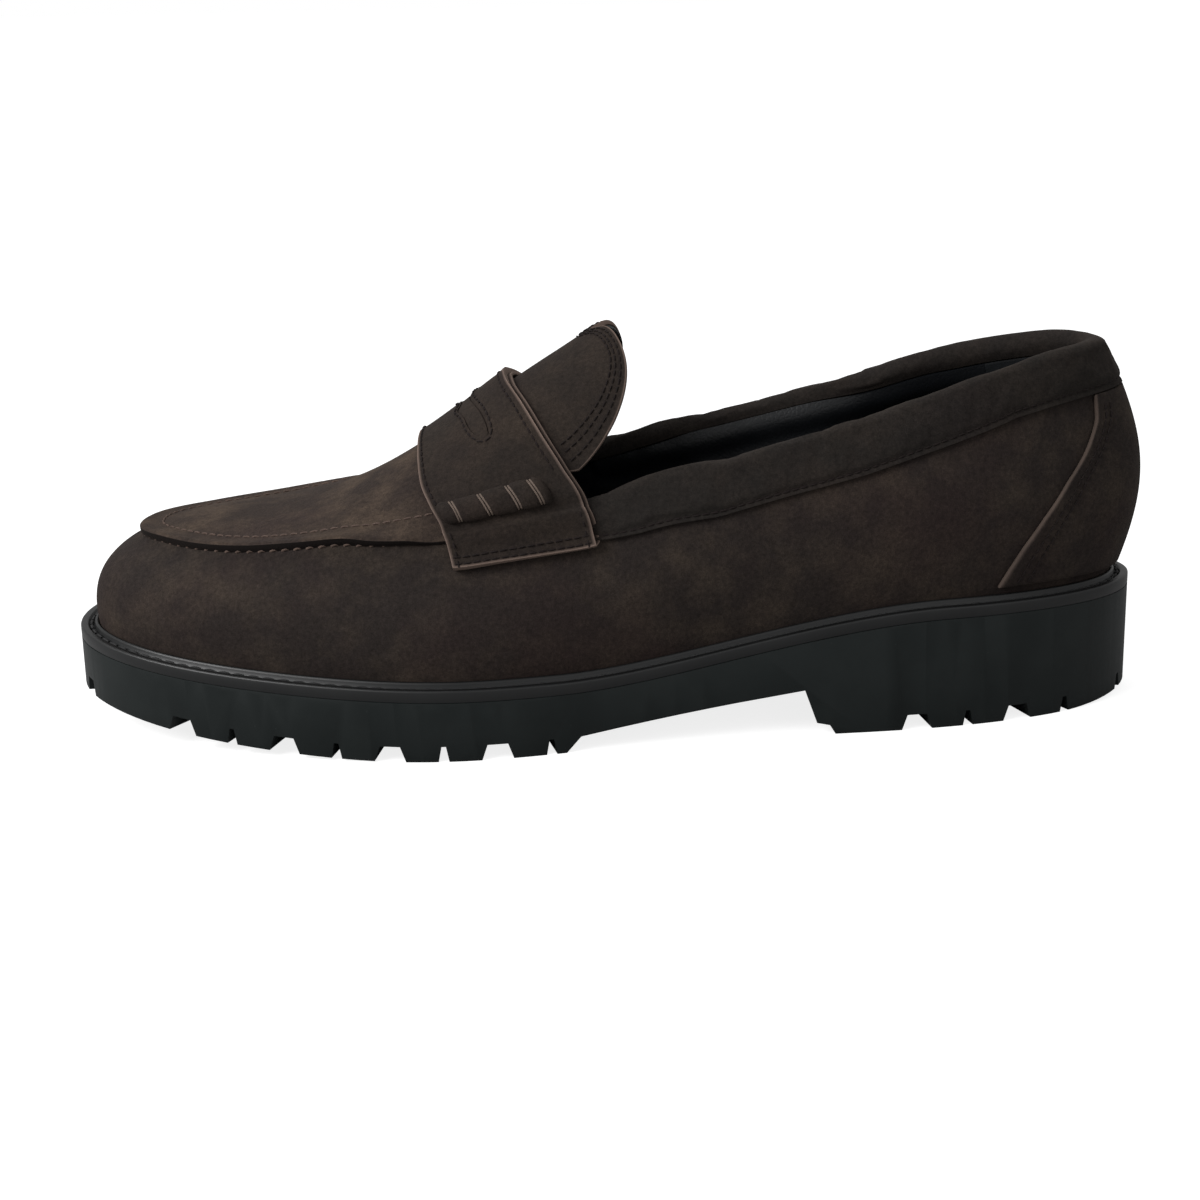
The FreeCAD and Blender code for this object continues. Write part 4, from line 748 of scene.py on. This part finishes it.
def make_wall():
    u, t = np.linspace(0, COUNT, 1041)[:-1][:, None], np.append(spread(0, 0.93, 34, 0.3), [
        0.94, 0.95, 0.96, 0.97, 0.98, 0.99, 1.0])[None, :]
    base = wall(u, t)
    soft = ripple(base, 3, 34.0) * 0.16 * np.sin(np.pi * np.clip(t, 0.02, 0.9)) + ripple(base, 4, 9.0) * 0.03
    at_seam = smooth((u - 7.2) / 0.4) * smooth((18.8 - u) / 0.4)
    pucker = 0.75 + 0.12 * np.sin(seam_run(u) * 2 * math.pi / STITCH_PITCH)
    soft = soft + at_seam * pucker * np.exp(-((t - 0.985) / 0.035) ** 2)
    piece = shell("upper_side", wall(u, t, soft), wall(u, t, -LEATHER), closed=True, rims="")
    return finish_piece(piece, "shoe", nubuck, ["upper_wall"])


def make_cover():
    """Back cover: a panel over the heel whose front edges are turned under and stand proud."""
    share, k = np.linspace(-1, 1, 121)[:, None], np.linspace(0, 1, 44)[None, :]
    top = lookup(COLLAR_SEAM, np.abs(share) * 1.4) - 0.004
    t = 0.045 + (top - 0.045) * k
    u = lookup(COVER_EDGE, t) * share
    near = np.abs(np.abs(share) - 1) * 14.0 * 3
    off = GAP + OVERLAY + 0.25 * np.exp(-((near - 0.8) / 0.7) ** 2)
    piece = shell("back_cover_panel", wall(u, t, off), wall(u, t, GAP * 0.5), rim_width=0.6, rims="u")
    soften(piece, 0.45)
    return finish_piece(piece, "shoe", nubuck, ["back_cover"])


def spine_rows(edge, target, reach, count):
    """Points from a seam towards a middle line: millimetres at first, then shares of what is left."""
    direction = target - edge
    length = np.linalg.norm(direction, axis=1, keepdims=True)
    direction = direction / np.maximum(length, 1e-6)
    rows = [edge + direction * np.minimum(d, length * 0.8) for d in reach]
    last = rows[-1]
    for k in np.linspace(0, 1, count)[1:]:
        rows.append(last + (target - last) * k)
    return np.array(rows)


def rim_lip(distance, x):
    """Height that the apron's rim stands above its middle."""
    near = np.clip(1 - np.maximum(distance, 0) / LIP_WIDTH, 0, 1)
    return LIP_HEIGHT * near ** 2 * smooth((x - 45.0) / 9.0)


def make_apron():
    stations = np.linspace(30.0, 106.0, 110)
    toe_from, toe_to = (float(station_on_wall(106.0, 1.0, side)) for side in (True, False))
    u = np.concatenate([station_on_wall(stations, 1.0, True)[:-1], np.linspace(toe_from, toe_to, 150),
                        station_on_wall(stations, 1.0, False)[-2::-1]])
    spine_x = np.concatenate([stations[:-1], np.full(150, 106.0), stations[-2::-1]]).clip(34.0, 106.0)
    seam = top_edge(u)
    along = unit(np.gradient(seam[:, :2], axis=0))
    outwards = np.stack([-along[:, 1], along[:, 0]], -1)
    reach = np.array([0.0, 0.35, 0.8, 1.4, 2.2, 3.2, 4.4, 5.8, 7.4])
    plan = spine_rows(seam[:, :2] + outwards * 0.9, np.stack([spine_x, centre(spine_x)], -1), reach, 16)
    fence = top_edge(np.linspace(7, 19, 400))[:, :2]
    gap = np.array([np.linalg.norm(row[:, None, :] - fence[None], axis=-1).min(-1) for row in plan])
    x, y = plan[..., 0], plan[..., 1]
    top = APRON_TOP + rim_lip(gap - 0.3, x) + ripple(plan_points(x, y), 8, 26.0) * 0.12 * smooth(gap / 12)
    rows = list(crown(x, y, top)[::-1])
    edge = plan[0]
    lip = rim_lip(np.zeros(len(edge)), edge[:, 0])
    for push, share in ((0.16, 0.93), (0.3, 0.7), (0.34, 0.45), (0.2, 0.22), (0.0, 0.05)):
        spot = edge + outwards * push
        rows.append(crown(spot[:, 0], spot[:, 1], GAP * 0.5 + (APRON_TOP + lip - GAP * 0.5) * share))
    rows += list(crown(x, y, GAP * 0.5))
    rows = np.array(rows)
    count, length = rows.shape[:2]
    grid = np.arange(count * length).reshape(count, length)
    faces = squares(grid).tolist()
    rim = np.zeros((count, length))
    middle = len(plan)
    # the rows of the lip's cut face take the apron's dark edge colour: painted shade
    rim[middle:middle + 6] = 1.0
    piece = object_from("apron_panel", rows, faces, rim)
    face_outwards(piece, merge=0.02, fill=True)
    finish_piece(piece, "shoe", apron_nubuck, ["apron"], sharp=35)


def plan_points(x, y):
    return np.stack([x, y, np.zeros_like(x)], -1)


def slot_spots(grow=0.0):
    """Closed smooth line round the penny slot: stations and distances across, on the strap's face."""
    x, y = np.array(SLOT).T
    right, left = (np.stack([x, centre(x) + side * y], -1) for side in (1, -1))
    fine = np.vstack([right, left[-2:0:-1]])
    for _ in range(3):
        ahead = np.roll(fine, -1, 0)
        fine = np.stack([fine * 0.75 + ahead * 0.25, fine * 0.25 + ahead * 0.75], 1).reshape(-1, 2)
    return grow_loop(fine, grow)


def slot_outline(grow=0.0):
    """The same line in plan."""
    x, y = slot_spots(grow).T
    return crown(x, y, STRAP_FACE)[:, :2]


def prism(name, loop, low, high):
    count = len(loop)
    points = np.vstack([np.hstack([loop, np.full((count, 1), z)]) for z in (low, high)])
    faces = [list(range(count))[::-1], [count + k for k in range(count)]]
    faces += [[k, (k + 1) % count, count + (k + 1) % count, count + k] for k in range(count)]
    piece = object_from(name, points, faces)
    face_outwards(piece)
    return piece


def cut_with(piece, tool, operation="DIFFERENCE"):
    cutter = piece.modifiers.new("cut", "BOOLEAN")
    cutter.operation, cutter.object, cutter.solver = operation, tool, "EXACT"
    bake(piece)
    return piece


def grow_loop(loop, amount):
    along = unit(np.roll(loop, -1, 0) - np.roll(loop, 1, 0))
    turn = np.sum(loop[:, 0] * np.roll(loop[:, 1], -1) - np.roll(loop[:, 0], -1) * loop[:, 1])
    side = 1.0 if turn > 0 else -1.0
    return loop + np.stack([along[:, 1], -along[:, 0]], -1) * amount * side


def make_strap():
    v, f = spread(-1.5, 1.5, 201)[:, None], spread(0, 1, 44, 0.55)[None, :]
    bump = ripple(np.stack(np.broadcast_arrays(v * 40, f * 40, 0 * v), -1), 12, 22.0) * 0.1
    fold = (np.abs(v) - 0.985) / 0.018
    bump = bump - 1.05 * np.exp(-fold ** 2) * smooth((0.99 - f) / 0.05)
    bump = bump + 0.3 * np.exp(-((np.abs(v) - 1.05) / 0.03) ** 2)
    bump = bump + 0.35 * np.exp(-(f / 0.05) ** 2)
    leather = shell("saddle_strap_leather", strap_point(f, v, STRAP_TOP + bump),
                    strap_point(f, v, STRAP_LINING + GAP * 0.6), rim_width=0.75)
    tool = prism("slot_cutter", slot_outline(), 40.0, 140.0)
    cut_with(leather, tool)
    soften(leather, 0.32, 55)
    finish_piece(leather, "shoe", strap_nubuck, ["saddle_strap"], sharp=60)
    bpy.data.objects.remove(tool)
    end = 1.5 - 0.012
    v = spread(-end, end, 161)[:, None]
    back = -0.036 * smooth((1.5 - np.abs(v)) / 0.08)
    lining = shell("saddle_strap_lining", strap_point(back + f * (0.992 - back), v, STRAP_LINING),
                   strap_point(back + f * (0.992 - back), v, 0.0), rim_width=0.9)
    soften(lining, 0.28, 55)
    finish_piece(lining, "shoe", strap_nubuck, ["strap_lining"], sharp=60)
    patch_grid_v, patch_f = spread(-0.75, 0.75, 81)[:, None], spread(0.2, 0.8, 40)[None, :]
    patch = shell("slot_backing_patch", strap_point(patch_f, patch_grid_v, STRAP_TOP - 0.35),
                  strap_point(patch_f, patch_grid_v, STRAP_LINING + GAP), rims="")
    tool = prism("patch_cutter", slot_outline(-0.28), 40.0, 140.0)
    cut_with(patch, tool, "INTERSECT")
    soften(patch, 0.2, 55)
    bpy.data.objects.remove(tool)
    finish_piece(patch, "shoe", strap_nubuck, ["slot_backing"], sharp=60)


def make_rolls():
    """Beef rolls: each is a rolled strip with creases where the thread pulls it in."""
    for side, node in ((1, "beef_roll_outer"), (-1, "beef_roll_inner")):
        f = np.linspace(0.185, 0.975, 121)
        rings = []
        pinch = sum(np.exp(-((f - spot) / 0.022) ** 2) for spot in WRAPS)
        ends = np.sqrt(np.clip(1 - np.clip((np.abs(f - 0.58) - 0.335) / 0.062, 0, 1) ** 2, 0.02, 1))
        for k in range(len(f)):
            size = ends[k] * (1 - 0.2 * pinch[k])
            angle = np.linspace(0, 2 * math.pi, 25)[:-1]
            across = ROLL_MIDDLE + ROLL_HALF * size * np.cos(angle)
            height = np.where(np.sin(angle) > 0, ROLL_HEIGHT * 0.98, 0.35) * np.sin(angle) * size
            rings.append(strap_point(f[k], side * across, ROLL_FOOT + height))
        rings = np.array(rings)
        rings += ripple(rings, 21 + side, 7.0)[..., None] * 0.12 * np.array([0, side, 0.6])
        piece = section_ring(node + "_leather", rings, closed=False)
        finish_piece(piece, "shoe", strap_nubuck, [node])


def make_wraps():
    """Four turns of doubled thread round each roll, worked from one coil section."""
    rings, faces, total = [], [], 0
    for side in (1, -1):
        for spot in WRAPS:
            for strand in (-1, 1):
                angle = np.linspace(-0.16, math.pi + 0.16, 27)
                across = ROLL_MIDDLE + ROLL_HALF * 0.84 * np.cos(angle)
                height = (ROLL_HEIGHT * 0.8 + 0.1) * np.sin(angle)
                centre_line = strap_point(spot + strand * 0.0105, side * across, ROLL_FOOT + height)
                tangent = unit(np.gradient(centre_line, axis=0))
                first = unit(np.cross(tangent, np.array([1.0, 0.0, 0.35])))
                second = np.cross(tangent, first)
                turn = np.linspace(0, 2 * math.pi, 9)[:-1]
                tube = centre_line[:, None] + 0.3 * (first[:, None] * np.cos(turn)[None, :, None]
                                                      + second[:, None] * np.sin(turn)[None, :, None])
                faces += tube_faces(*tube.shape[:2], False, total)
                rings.append(tube.reshape(-1, 3))
                total += len(rings[-1])
    piece = object_from("beef_roll_wraps", np.vstack(rings), faces)
    face_outwards(piece)
    finish_piece(piece, "shoe", roll_thread, ["beef_roll_thread"], sharp=80)


tongue_edge = profile([(-w, x) for w, x in TONGUE_EDGE[1:]] + TONGUE_EDGE, 1)


def tongue_flare(points):
    """Lift of the tongue's free end, which curls away from the foot."""
    return smooth((12 - points[..., 0]) / 16)[..., None] * np.array([0, 0, 0.5])


def tongue_grid(off, margin, rows=97, columns=56):
    reach = TONGUE_HALF - margin
    w = (reach * np.sin(np.linspace(-1, 1, rows) * math.pi / 2))[:, None]
    free = tongue_edge(np.abs(w)) + margin
    root = strap_rear(np.abs(w) / 35.0) + TONGUE_TAB * 0.9
    s = spread(0, 1, columns, 0.3)[None, :]
    x = free + (root - free) * s
    return crown(x, centre(x) + w, off)


def make_tongue():
    """Tongue: two layers, leather over a lining, with the free end lifted."""
    top = tongue_grid(TONGUE_TOP, 0.0)
    lift = tongue_flare(top)
    leather = shell("tongue_leather", top + lift, tongue_grid(TONGUE_TOP - LEATHER, 0.0) + lift,
                    rim_width=0.45)
    soften(leather, 0.3, 55)
    lining = shell("tongue_lining_leather", tongue_grid(TONGUE_TOP - LEATHER - GAP, 0.25) + lift,
                   tongue_grid(TONGUE_TOP - LEATHER - GAP - LINING, 0.25) + lift, rims="")
    soften(lining, 0.25, 55)
    for piece, material, slot, node in ((leather, strap_nubuck, "strap_nubuck", "tongue"),
                                        (lining, black_leather, "lining_leather", "tongue_lining")):
        piece.data.set_sharp_from_angle(angle=math.radians(60))
        piece.data.materials.clear()
        piece.data.materials.append(material)
        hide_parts(node)
        bend(piece)


def bend(piece):
    """Bakes a tongue piece's transform into its mesh."""
    rear = STRAP_EDGES[0][2]
    start = (crown(rear, centre(rear), 0.0) + SHIFT) / 1000
    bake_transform(piece)


def tongue_rows():
    rows = []
    for inset in (1.5, 2.9, 4.1):
        w = (TONGUE_HALF - inset) * np.sin(np.linspace(-0.97, 0.97, 121) * math.pi / 2)
        x = tongue_edge(np.abs(w) * TONGUE_HALF / (TONGUE_HALF - inset)) + inset
        points, normals = line_on(crown, np.stack([x, centre(x) + w], -1), TONGUE_TOP + 0.05)
        rows.append((points + tongue_flare(points), normals))
    return rows


# ---- collar ---------------------------------------------------------------------------------------------
def collar_station(share, t):
    t = np.minimum(t, 1.0)
    x = strap_rear(np.minimum(1 + (1 - t) / (2 * STRAP_DROP), 1.5)) - 0.35
    start, end = station_on_wall(x, t, False) - COUNT, station_on_wall(x, t, True)
    return start + (end - start) * share


def collar_grid(outside, rows=241):
    share = np.linspace(0, 1, rows)
    guess = collar_station(share, 0.9)
    thickness = OVERLAY if outside else 0.0
    face, depth = GAP + thickness, LEATHER + 2 * GAP + COLLAR_PAD + thickness
    radius = (face + depth) / 2
    height = np.linalg.norm(wall_point(guess, 1.0) - wall_point(guess, 0.9), axis=-1) / 0.1
    low = lookup(COLLAR_SEAM, np.abs(guess))
    ts, offs = [], []
    for k in np.linspace(0, 1, 15)[:-1]:
        swell = 0.55 * math.sin(math.pi * min(max((k - 0.16) / 0.84, 0), 1) ** 0.8) - 0.35 * math.exp(
            -((k - 0.14) / 0.06) ** 2)
        ts.append(low + (1 - low) * k)
        offs.append(np.full(rows, face + (swell if outside else swell * 0.9)))
    for a in np.linspace(0, math.pi, 15):
        ts.append(1 + radius * math.sin(a) / height)
        offs.append(np.full(rows, face - radius + radius * math.cos(a)))
    for k in (0.4, 0.75, 1.0):
        ts.append(np.full(rows, 1 - COLLAR_FACING * k))
        offs.append(np.full(rows, -depth + (0.5 * k if outside else 0.0)))
    t, off = np.array(ts).T, np.array(offs).T
    return wall(collar_station(share[:, None], t), t, off), t


def plumped(points, held, spare, limit):
    """Cloth over foam: a sheet a little too large for its seams, which the foam presses outwards."""
    rows, columns = points.shape[:2]
    grid = np.arange(rows * columns).reshape(rows, columns)
    sheet = object_from("pad_cloth", points, squares(grid).tolist())
    seams = sheet.vertex_groups.new(name="seams")
    seams.add(grid[held].ravel().tolist(), 1.0, "REPLACE")
    cloth = sheet.modifiers.new("cloth", "CLOTH")
    cloth.settings.vertex_group_mass = "seams"
    cloth.settings.quality = 5
    cloth.settings.use_pressure = True
    cloth.settings.uniform_pressure_force = 4.0
    cloth.settings.shrink_min = -spare
    cloth.settings.effector_weights.gravity = 0.0
    cloth.collision_settings.use_self_collision = False
    cloth.collision_settings.use_collision = False
    for frame_number in range(1, 21):
        bpy.context.scene.frame_set(frame_number)
    settled = sheet.evaluated_get(bpy.context.evaluated_depsgraph_get()).data
    found = np.empty(len(settled.vertices) * 3)
    settled.vertices.foreach_get("co", found)
    bpy.data.objects.remove(sheet)
    bpy.context.scene.frame_set(1)
    moved = found.reshape(points.shape) * 1000 - SHIFT - points
    length = np.linalg.norm(moved, axis=-1, keepdims=True)
    return points + moved * np.tanh(length / limit) * limit / np.maximum(length, 1e-6)


def make_collar():
    """Padded collar: nubuck over foam, rolled over the topline and turned down inside."""
    outer, t = collar_grid(True)
    inner, _ = collar_grid(False)
    puff_wave = ripple(outer, 41, 16.0) * 0.16 + ripple(outer, 42, 6.0) * 0.05
    outer = outer + unit(outer - inner) * puff_wave[..., None]
    held = np.zeros(outer.shape[:2], bool)
    held[:, :3], held[:, -3:], held[:2], held[-2:] = True, True, True, True
    settled = plumped(outer, held, 0.008, 0.6)
    piece = shell("collar_roll", settled, inner + (settled - outer), rims="")
    finish_piece(piece, "shoe", collar_nubuck, ["collar", "collar_padding"], sharp=70)


def pad_swell(u, t):
    """Depth that the collar's foam adds under the lining."""
    station = np.minimum(u % COUNT, COUNT - u % COUNT)
    return (COLLAR_PAD - STIFFENER) * smooth((t - PAD_FOOT) / 0.12) * smooth((6.2 - station) / 0.7)


def make_linings():
    inner = -(LEATHER + GAP + STIFFENER + GAP + LINING)
    skin = (black_leather, "lining_leather")
    for node, ending, u0, u1, seed, (material, slot) in (
            ("quarter_lining_outer", "_leather", 2.432, 6.36, 51, skin),
            ("quarter_lining_inner", "_leather", 19.64, 23.568, 52, skin),
            ("heel_grip", "_suede", -2.428, 2.428, 53, (grip_suede, "heel_grip")),
            ("vamp_lining", "_cloth", 6.4, 19.6, 54, (textile, "textile_lining"))):
        top = 0.94 if node == "vamp_lining" else 1.0 - COLLAR_FACING - 0.006
        u, t = np.linspace(u0, u1, 141)[:, None], np.linspace(0, top, 50)[None, :]
        base = wall(u, t, inner)
        towards_vamp = smooth((base[..., 0] + 70) / 60)
        fold = ripple(base * np.array([0.6, 1, 1.6]), seed, 13.0) * 0.35 * towards_vamp
        fold = fold + ripple(base, seed, 40) * 0.2
        swell = pad_swell(u, t)
        puff_out = 0.9 * np.sin(np.pi * np.clip((t - 0.84) / 0.17, 0, 1)) * (swell > 0.2)
        piece = shell(node + ending, wall(u, t, inner - swell + 0.05 - np.abs(fold) - puff_out),
                      wall(u, t, inner + LINING - swell), rims="")
        finish_piece(piece, "shoe", material, [node])


def on_sole(plan, lift):
    """Plan points raised by lift above the outsole's top face."""
    return np.hstack([plan, (sole_top(plan[:, 0]) + lift)[:, None]])


def lens(name, loop, low, high, dome, rings=9):
    """Flat pad on a plan outline; low and high are heights above the outsole's top face."""
    middle = loop.mean(0)
    scales = np.concatenate([np.linspace(0.02, 0.8, rings), [0.9, 0.96, 0.99, 1.0]])
    tops = [middle + (loop - middle) * s for s in scales]
    stack = []
    for s, ring in zip(scales, tops):
        edge_drop = (high - low) * 0.35 * smooth((s - 0.95) / 0.05)
        stack.append(on_sole(ring, high - edge_drop + dome * (1 - s ** 2)))
    for s, ring in zip(scales[::-1], tops[::-1]):
        stack.append(on_sole(ring, low + (high - low) * 0.2 * (s > 0.995)))
    return section_ring(name, stack, closed=False)


def make_footbed():
    u = np.linspace(0, COUNT, 241)[:-1]
    low = WELT_THICKNESS + 2 * GAP + INSOLE + GAP
    sock = lens("sock_leather", outline(u, SOCK_INSET), low, low + SOCK, 0.0, 14)
    finish_piece(sock, "shoe", black_leather, ["sock_liner"])
    back = outline(np.linspace(-3.05, 3.05, 101), PAD_INSET)
    arc = np.linspace(math.pi / 2, -math.pi / 2, 41)[1:-1]
    nose = np.stack([PAD_FRONT - PAD_NOSE + PAD_NOSE * np.cos(arc), PAD_NOSE * np.sin(arc)], -1)
    low = low + SOCK + GAP
    pad = lens("heel_cushion", np.vstack([back, nose]), low, low + HEEL_PAD, 0.7)
    finish_piece(pad, "shoe", black_leather, ["heel_pad"])


# ---- sole -----------------------------------------------------------------------------------------------
def make_welt():
    """Storm welt: raised bead against the upper, stitched groove, and a flat rim with a rounded edge."""
    w, h = WELT_WIDTH, WELT_THICKNESS
    groove_out, groove_in = w - BEAD_WIDTH - GROOVE_WIDTH, w - BEAD_WIDTH
    section = [(0.15, 0.0), (0.0, 0.3), (-0.02, 1.6), (0.0, h - 0.55), (0.12, h - 0.22), (0.4, h - 0.04),
               (0.9, h), (groove_out - 0.25, h), (groove_out, h - 0.08), (groove_out + 0.2, h - 0.75),
               (groove_out + 0.5, h - 0.9), (groove_in - 0.45, h - 0.9), (groove_in - 0.15, h - 0.6),
               (groove_in, h + 0.45), (w - 1.25, h + 0.92), (w - 0.85, h + 1.12), (w - 0.5, h + 0.95),
               (w - 0.25, h + 0.5), (w - 0.08, h), (w, h - 0.32), (9.0, h - 0.32), (9.0, 0.0)]
    u = np.linspace(0, COUNT, 601)[:-1]
    rings = []
    for inset, lift in section:
        rings.append(on_sole(outline(u, inset), GAP * 0.4 + lift))
    piece = section_ring("storm_welt", np.array(rings).transpose(1, 0, 2))
    finish_piece(piece, "shoe", welt_rubber, ["welt"], sharp=60)
    middle = w - BEAD_WIDTH - GROOVE_WIDTH * 0.5
    line = on_sole(outline(np.linspace(0, COUNT, 801), middle), h - 0.72)
    up = np.tile([0.0, 0.0, 1.0], (len(line), 1))
    stitch("welt_stitches", [(line, up)], "shoe", welt_thread, ["welt_thread"], pitch=4.4,
           length=3.4, thickness=0.42, hump=0.3)


def make_outsole():
    """The moulded unit: the CAD lugs, with their edges rounded as a mould leaves them."""
    source = nodes["outsole"]
    piece = show(bpy.data.objects.new("outsole_rubber", source.data.copy()))
    work = bmesh.new()
    work.from_mesh(piece.data)
    bmesh.ops.remove_doubles(work, verts=work.verts, dist=2e-6)
    bmesh.ops.dissolve_limit(work, angle_limit=math.radians(1.0), verts=work.verts, edges=work.edges)
    work.to_mesh(piece.data)
    work.free()
    soften(piece, 0.65, 28)
    finish_piece(piece, "shoe", rubber, ["outsole"], sharp=30)


# ---- seams ----------------------------------------------------------------------------------------------
def seam_offset(u, inset):
    p, ahead, behind = top_edge(u), top_edge(u + 0.05), top_edge(u - 0.05)
    along = unit((ahead - behind)[:, :2])
    return np.stack([p[:, 0] + along[:, 1] * inset, p[:, 1] - along[:, 0] * inset], -1)


def make_seams():
    u = np.linspace(7.66, 18.34, 500)
    stitch("apron_seam_stitches", [line_on(wall, np.stack([u, np.full(len(u), 0.986)], -1), 0.72)], "shoe",
           apron_thread, ["apron_thread"], pitch=STITCH_PITCH, length=1.9, thickness=0.43,
           hump=0.38, slant=0.25)
    path = seam_offset(np.linspace(7.75, 18.25, 500), 5.2)
    lip = rim_lip(np.full(len(path), 5.2), path[:, 0])
    points, normals = line_on(crown, path, 0.0)
    points = points + normals * (APRON_TOP + lip + 0.02)[:, None]
    stitch("apron_inner_stitches", [(points, normals)], "shoe", apron_thread, pitch=2.9,
           length=2.0)

    share = np.linspace(0.006, 0.994, 400)
    guess = collar_station(share, 0.8)
    seam = np.stack([guess, lookup(COLLAR_SEAM, np.abs(guess)) + 0.026], -1)
    row = line_on(wall, seam, GAP + OVERLAY - 0.28)
    stitch("collar_stitches", [row], "shoe", seam_thread, ["collar_thread"], hump=0.24)

    rows = []
    for side in (1, -1):
        for inset in (0.17, 0.28):
            t = np.linspace(0.07, 0.795, 90)
            path = np.stack([side * (lookup(COVER_EDGE, t) - inset), t], -1)
            rows.append(line_on(wall, path, GAP + OVERLAY + 0.02))
    stitch("cover_stitches", rows, "shoe", seam_thread, ["back_cover_thread"], pitch=2.4,
           length=1.7)

    def strap_row(f, v):
        f, v = np.broadcast_arrays(np.asarray(f, float), np.asarray(v, float))
        base = strap_point(f, v, STRAP_TOP + 0.02)
        return base, unit(strap_point(f, v, STRAP_TOP + 1.0) - base)
    rows = [strap_row(0.955, np.linspace(-0.84, 0.84, 200)), strap_row(0.07, np.linspace(-0.84, 0.84, 200))]
    spots = slot_spots(0.75)
    rows.append(line_on(crown, np.vstack([spots, spots[:1]]), STRAP_FACE + 0.02))
    for side in (1, -1):
        rows.append(strap_row(0.955, side * np.linspace(1.07, 1.45, 60)))
        rows.append(strap_row(0.05, side * np.linspace(1.07, 1.45, 60)))
        rows.append(strap_row(np.linspace(0.05, 0.955, 90), side * 1.448))
        rows.append(strap_row(np.linspace(0.05, 0.955, 90), side * 1.345))
    stitch("strap_stitches", rows, "shoe", seam_thread, ["strap_thread"], length=1.75)

    piece = stitch("tongue_stitches", tongue_rows(), "tongue", seam_thread, ["tongue_thread"],
                   pitch=2.3, length=1.6, thickness=0.24)
    world = piece.matrix_world.copy()
    piece.parent = None
    piece.matrix_world = world
    del piece["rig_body"]
    bend(piece)


def dress_hidden():
    """Finishes for the CAD pieces inside the shoe that keep their own shapes."""
    hidden = {"shank": steel, "cork_filler": cork, "insole": board, "apron_lining": textile,
              "heel_counter": puff, "toe_puff": puff, "side_interlining_outer": canvas,
              "side_interlining_inner": canvas}
    for node, material in hidden.items():
        materials = nodes[node].data.materials
        if not materials:
            materials.append(material)
        for index in range(len(materials)):
            materials[index] = material


make_wall()
make_cover()
make_apron()
make_strap()
make_rolls()
make_wraps()
make_tongue()
make_collar()
make_linings()
make_footbed()
make_welt()
make_outsole()
make_seams()
dress_hidden()


# ---- floor, light and camera ----------------------------------------------------------------------------
def camera_rays(tree):
    return tree.nodes.new("ShaderNodeLightPath").outputs["Is Camera Ray"]


floor_mesh = bpy.data.meshes.new("floor")
floor_mesh.from_pydata([(-60, -150, 0), (60, -150, 0), (60, 20, 0), (-60, 20, 0)], [], [(0, 1, 2, 3)])
floor = show(bpy.data.objects.new("floor", floor_mesh))
pale = bpy.data.materials.new("pale_floor")
pale.use_nodes = True
paint = pale.node_tree.nodes["Principled BSDF"]
paint.inputs["Base Color"].default_value = (0.35, 0.35, 0.35, 1.0)
paint.inputs["Roughness"].default_value = 0.9
paint.inputs["Emission Color"].default_value = (1.0, 1.0, 1.0, 1.0)
glow = number(pale.node_tree, "MULTIPLY", camera_rays(pale.node_tree), 0.82)
pale.node_tree.links.new(glow, paint.inputs["Emission Strength"])
floor_mesh.materials.append(pale)


ROOM_LIGHT = 0.5


def softbox(name, place, aim, size, power):
    data = bpy.data.lights.new(name, "AREA")
    data.shape, data.size, data.size_y, data.energy = "RECTANGLE", size[0], size[1], power
    lamp = show(bpy.data.objects.new(name, data))
    lamp.location = place
    lamp.rotation_mode = "QUATERNION"
    lamp.rotation_quaternion = (Vector(aim) - Vector(place)).to_track_quat("-Z", "Y")


softbox("key_softbox", (0.95, 0.55, 0.8), (0.1, 0.0, 0.04), (0.8, 0.6), 17.0)
softbox("fill_softbox", (-0.6, 1.0, 0.7), (0.0, 0.0, 0.04), (0.9, 0.9), 1.5)
softbox("top_softbox", (0.2, -0.5, 1.2), (0.0, 0.0, 0.04), (1.2, 0.6), 5.0)
world = bpy.data.worlds.new("studio")
world.use_nodes = True
backdrop = world.node_tree.nodes["Background"]
backdrop.inputs["Color"].default_value = (1.0, 1.0, 1.0, 1.0)
strength = number(world.node_tree, "MULTIPLY_ADD", camera_rays(world.node_tree), 1.0 - ROOM_LIGHT, ROOM_LIGHT)
world.node_tree.links.new(strength, backdrop.inputs["Strength"])
bpy.context.scene.world = world
bpy.context.scene.view_settings.view_transform = "Standard"


def make_camera():
    """Level with the upper and a little above it, from the outer side."""
    yaw, pitch, roll = -0.0158, 0.2811, -0.0217
    forward = Vector((math.sin(yaw) * math.cos(pitch), -math.cos(yaw) * math.cos(pitch), -math.sin(pitch)))
    right = Vector((-math.cos(yaw), -math.sin(yaw), 0.0))
    up = right.cross(forward)
    turned = math.cos(roll) * right + math.sin(roll) * up
    upright = -math.sin(roll) * right + math.cos(roll) * up
    data = bpy.data.cameras.new("camera")
    data.sensor_width, data.lens = 36.0, 62.56
    data.clip_start, data.clip_end = 0.02, 60.0
    camera = show(bpy.data.objects.new("camera", data))
    place = (np.array([10.584, 585.122, 197.285]) + SHIFT) / 1000
    turn = Matrix((turned, upright, -forward)).transposed()
    camera.matrix_world = Matrix.Translation(Vector(place)) @ turn.to_4x4()
    bpy.context.scene.camera = camera


make_camera()
bpy.context.view_layer.update()
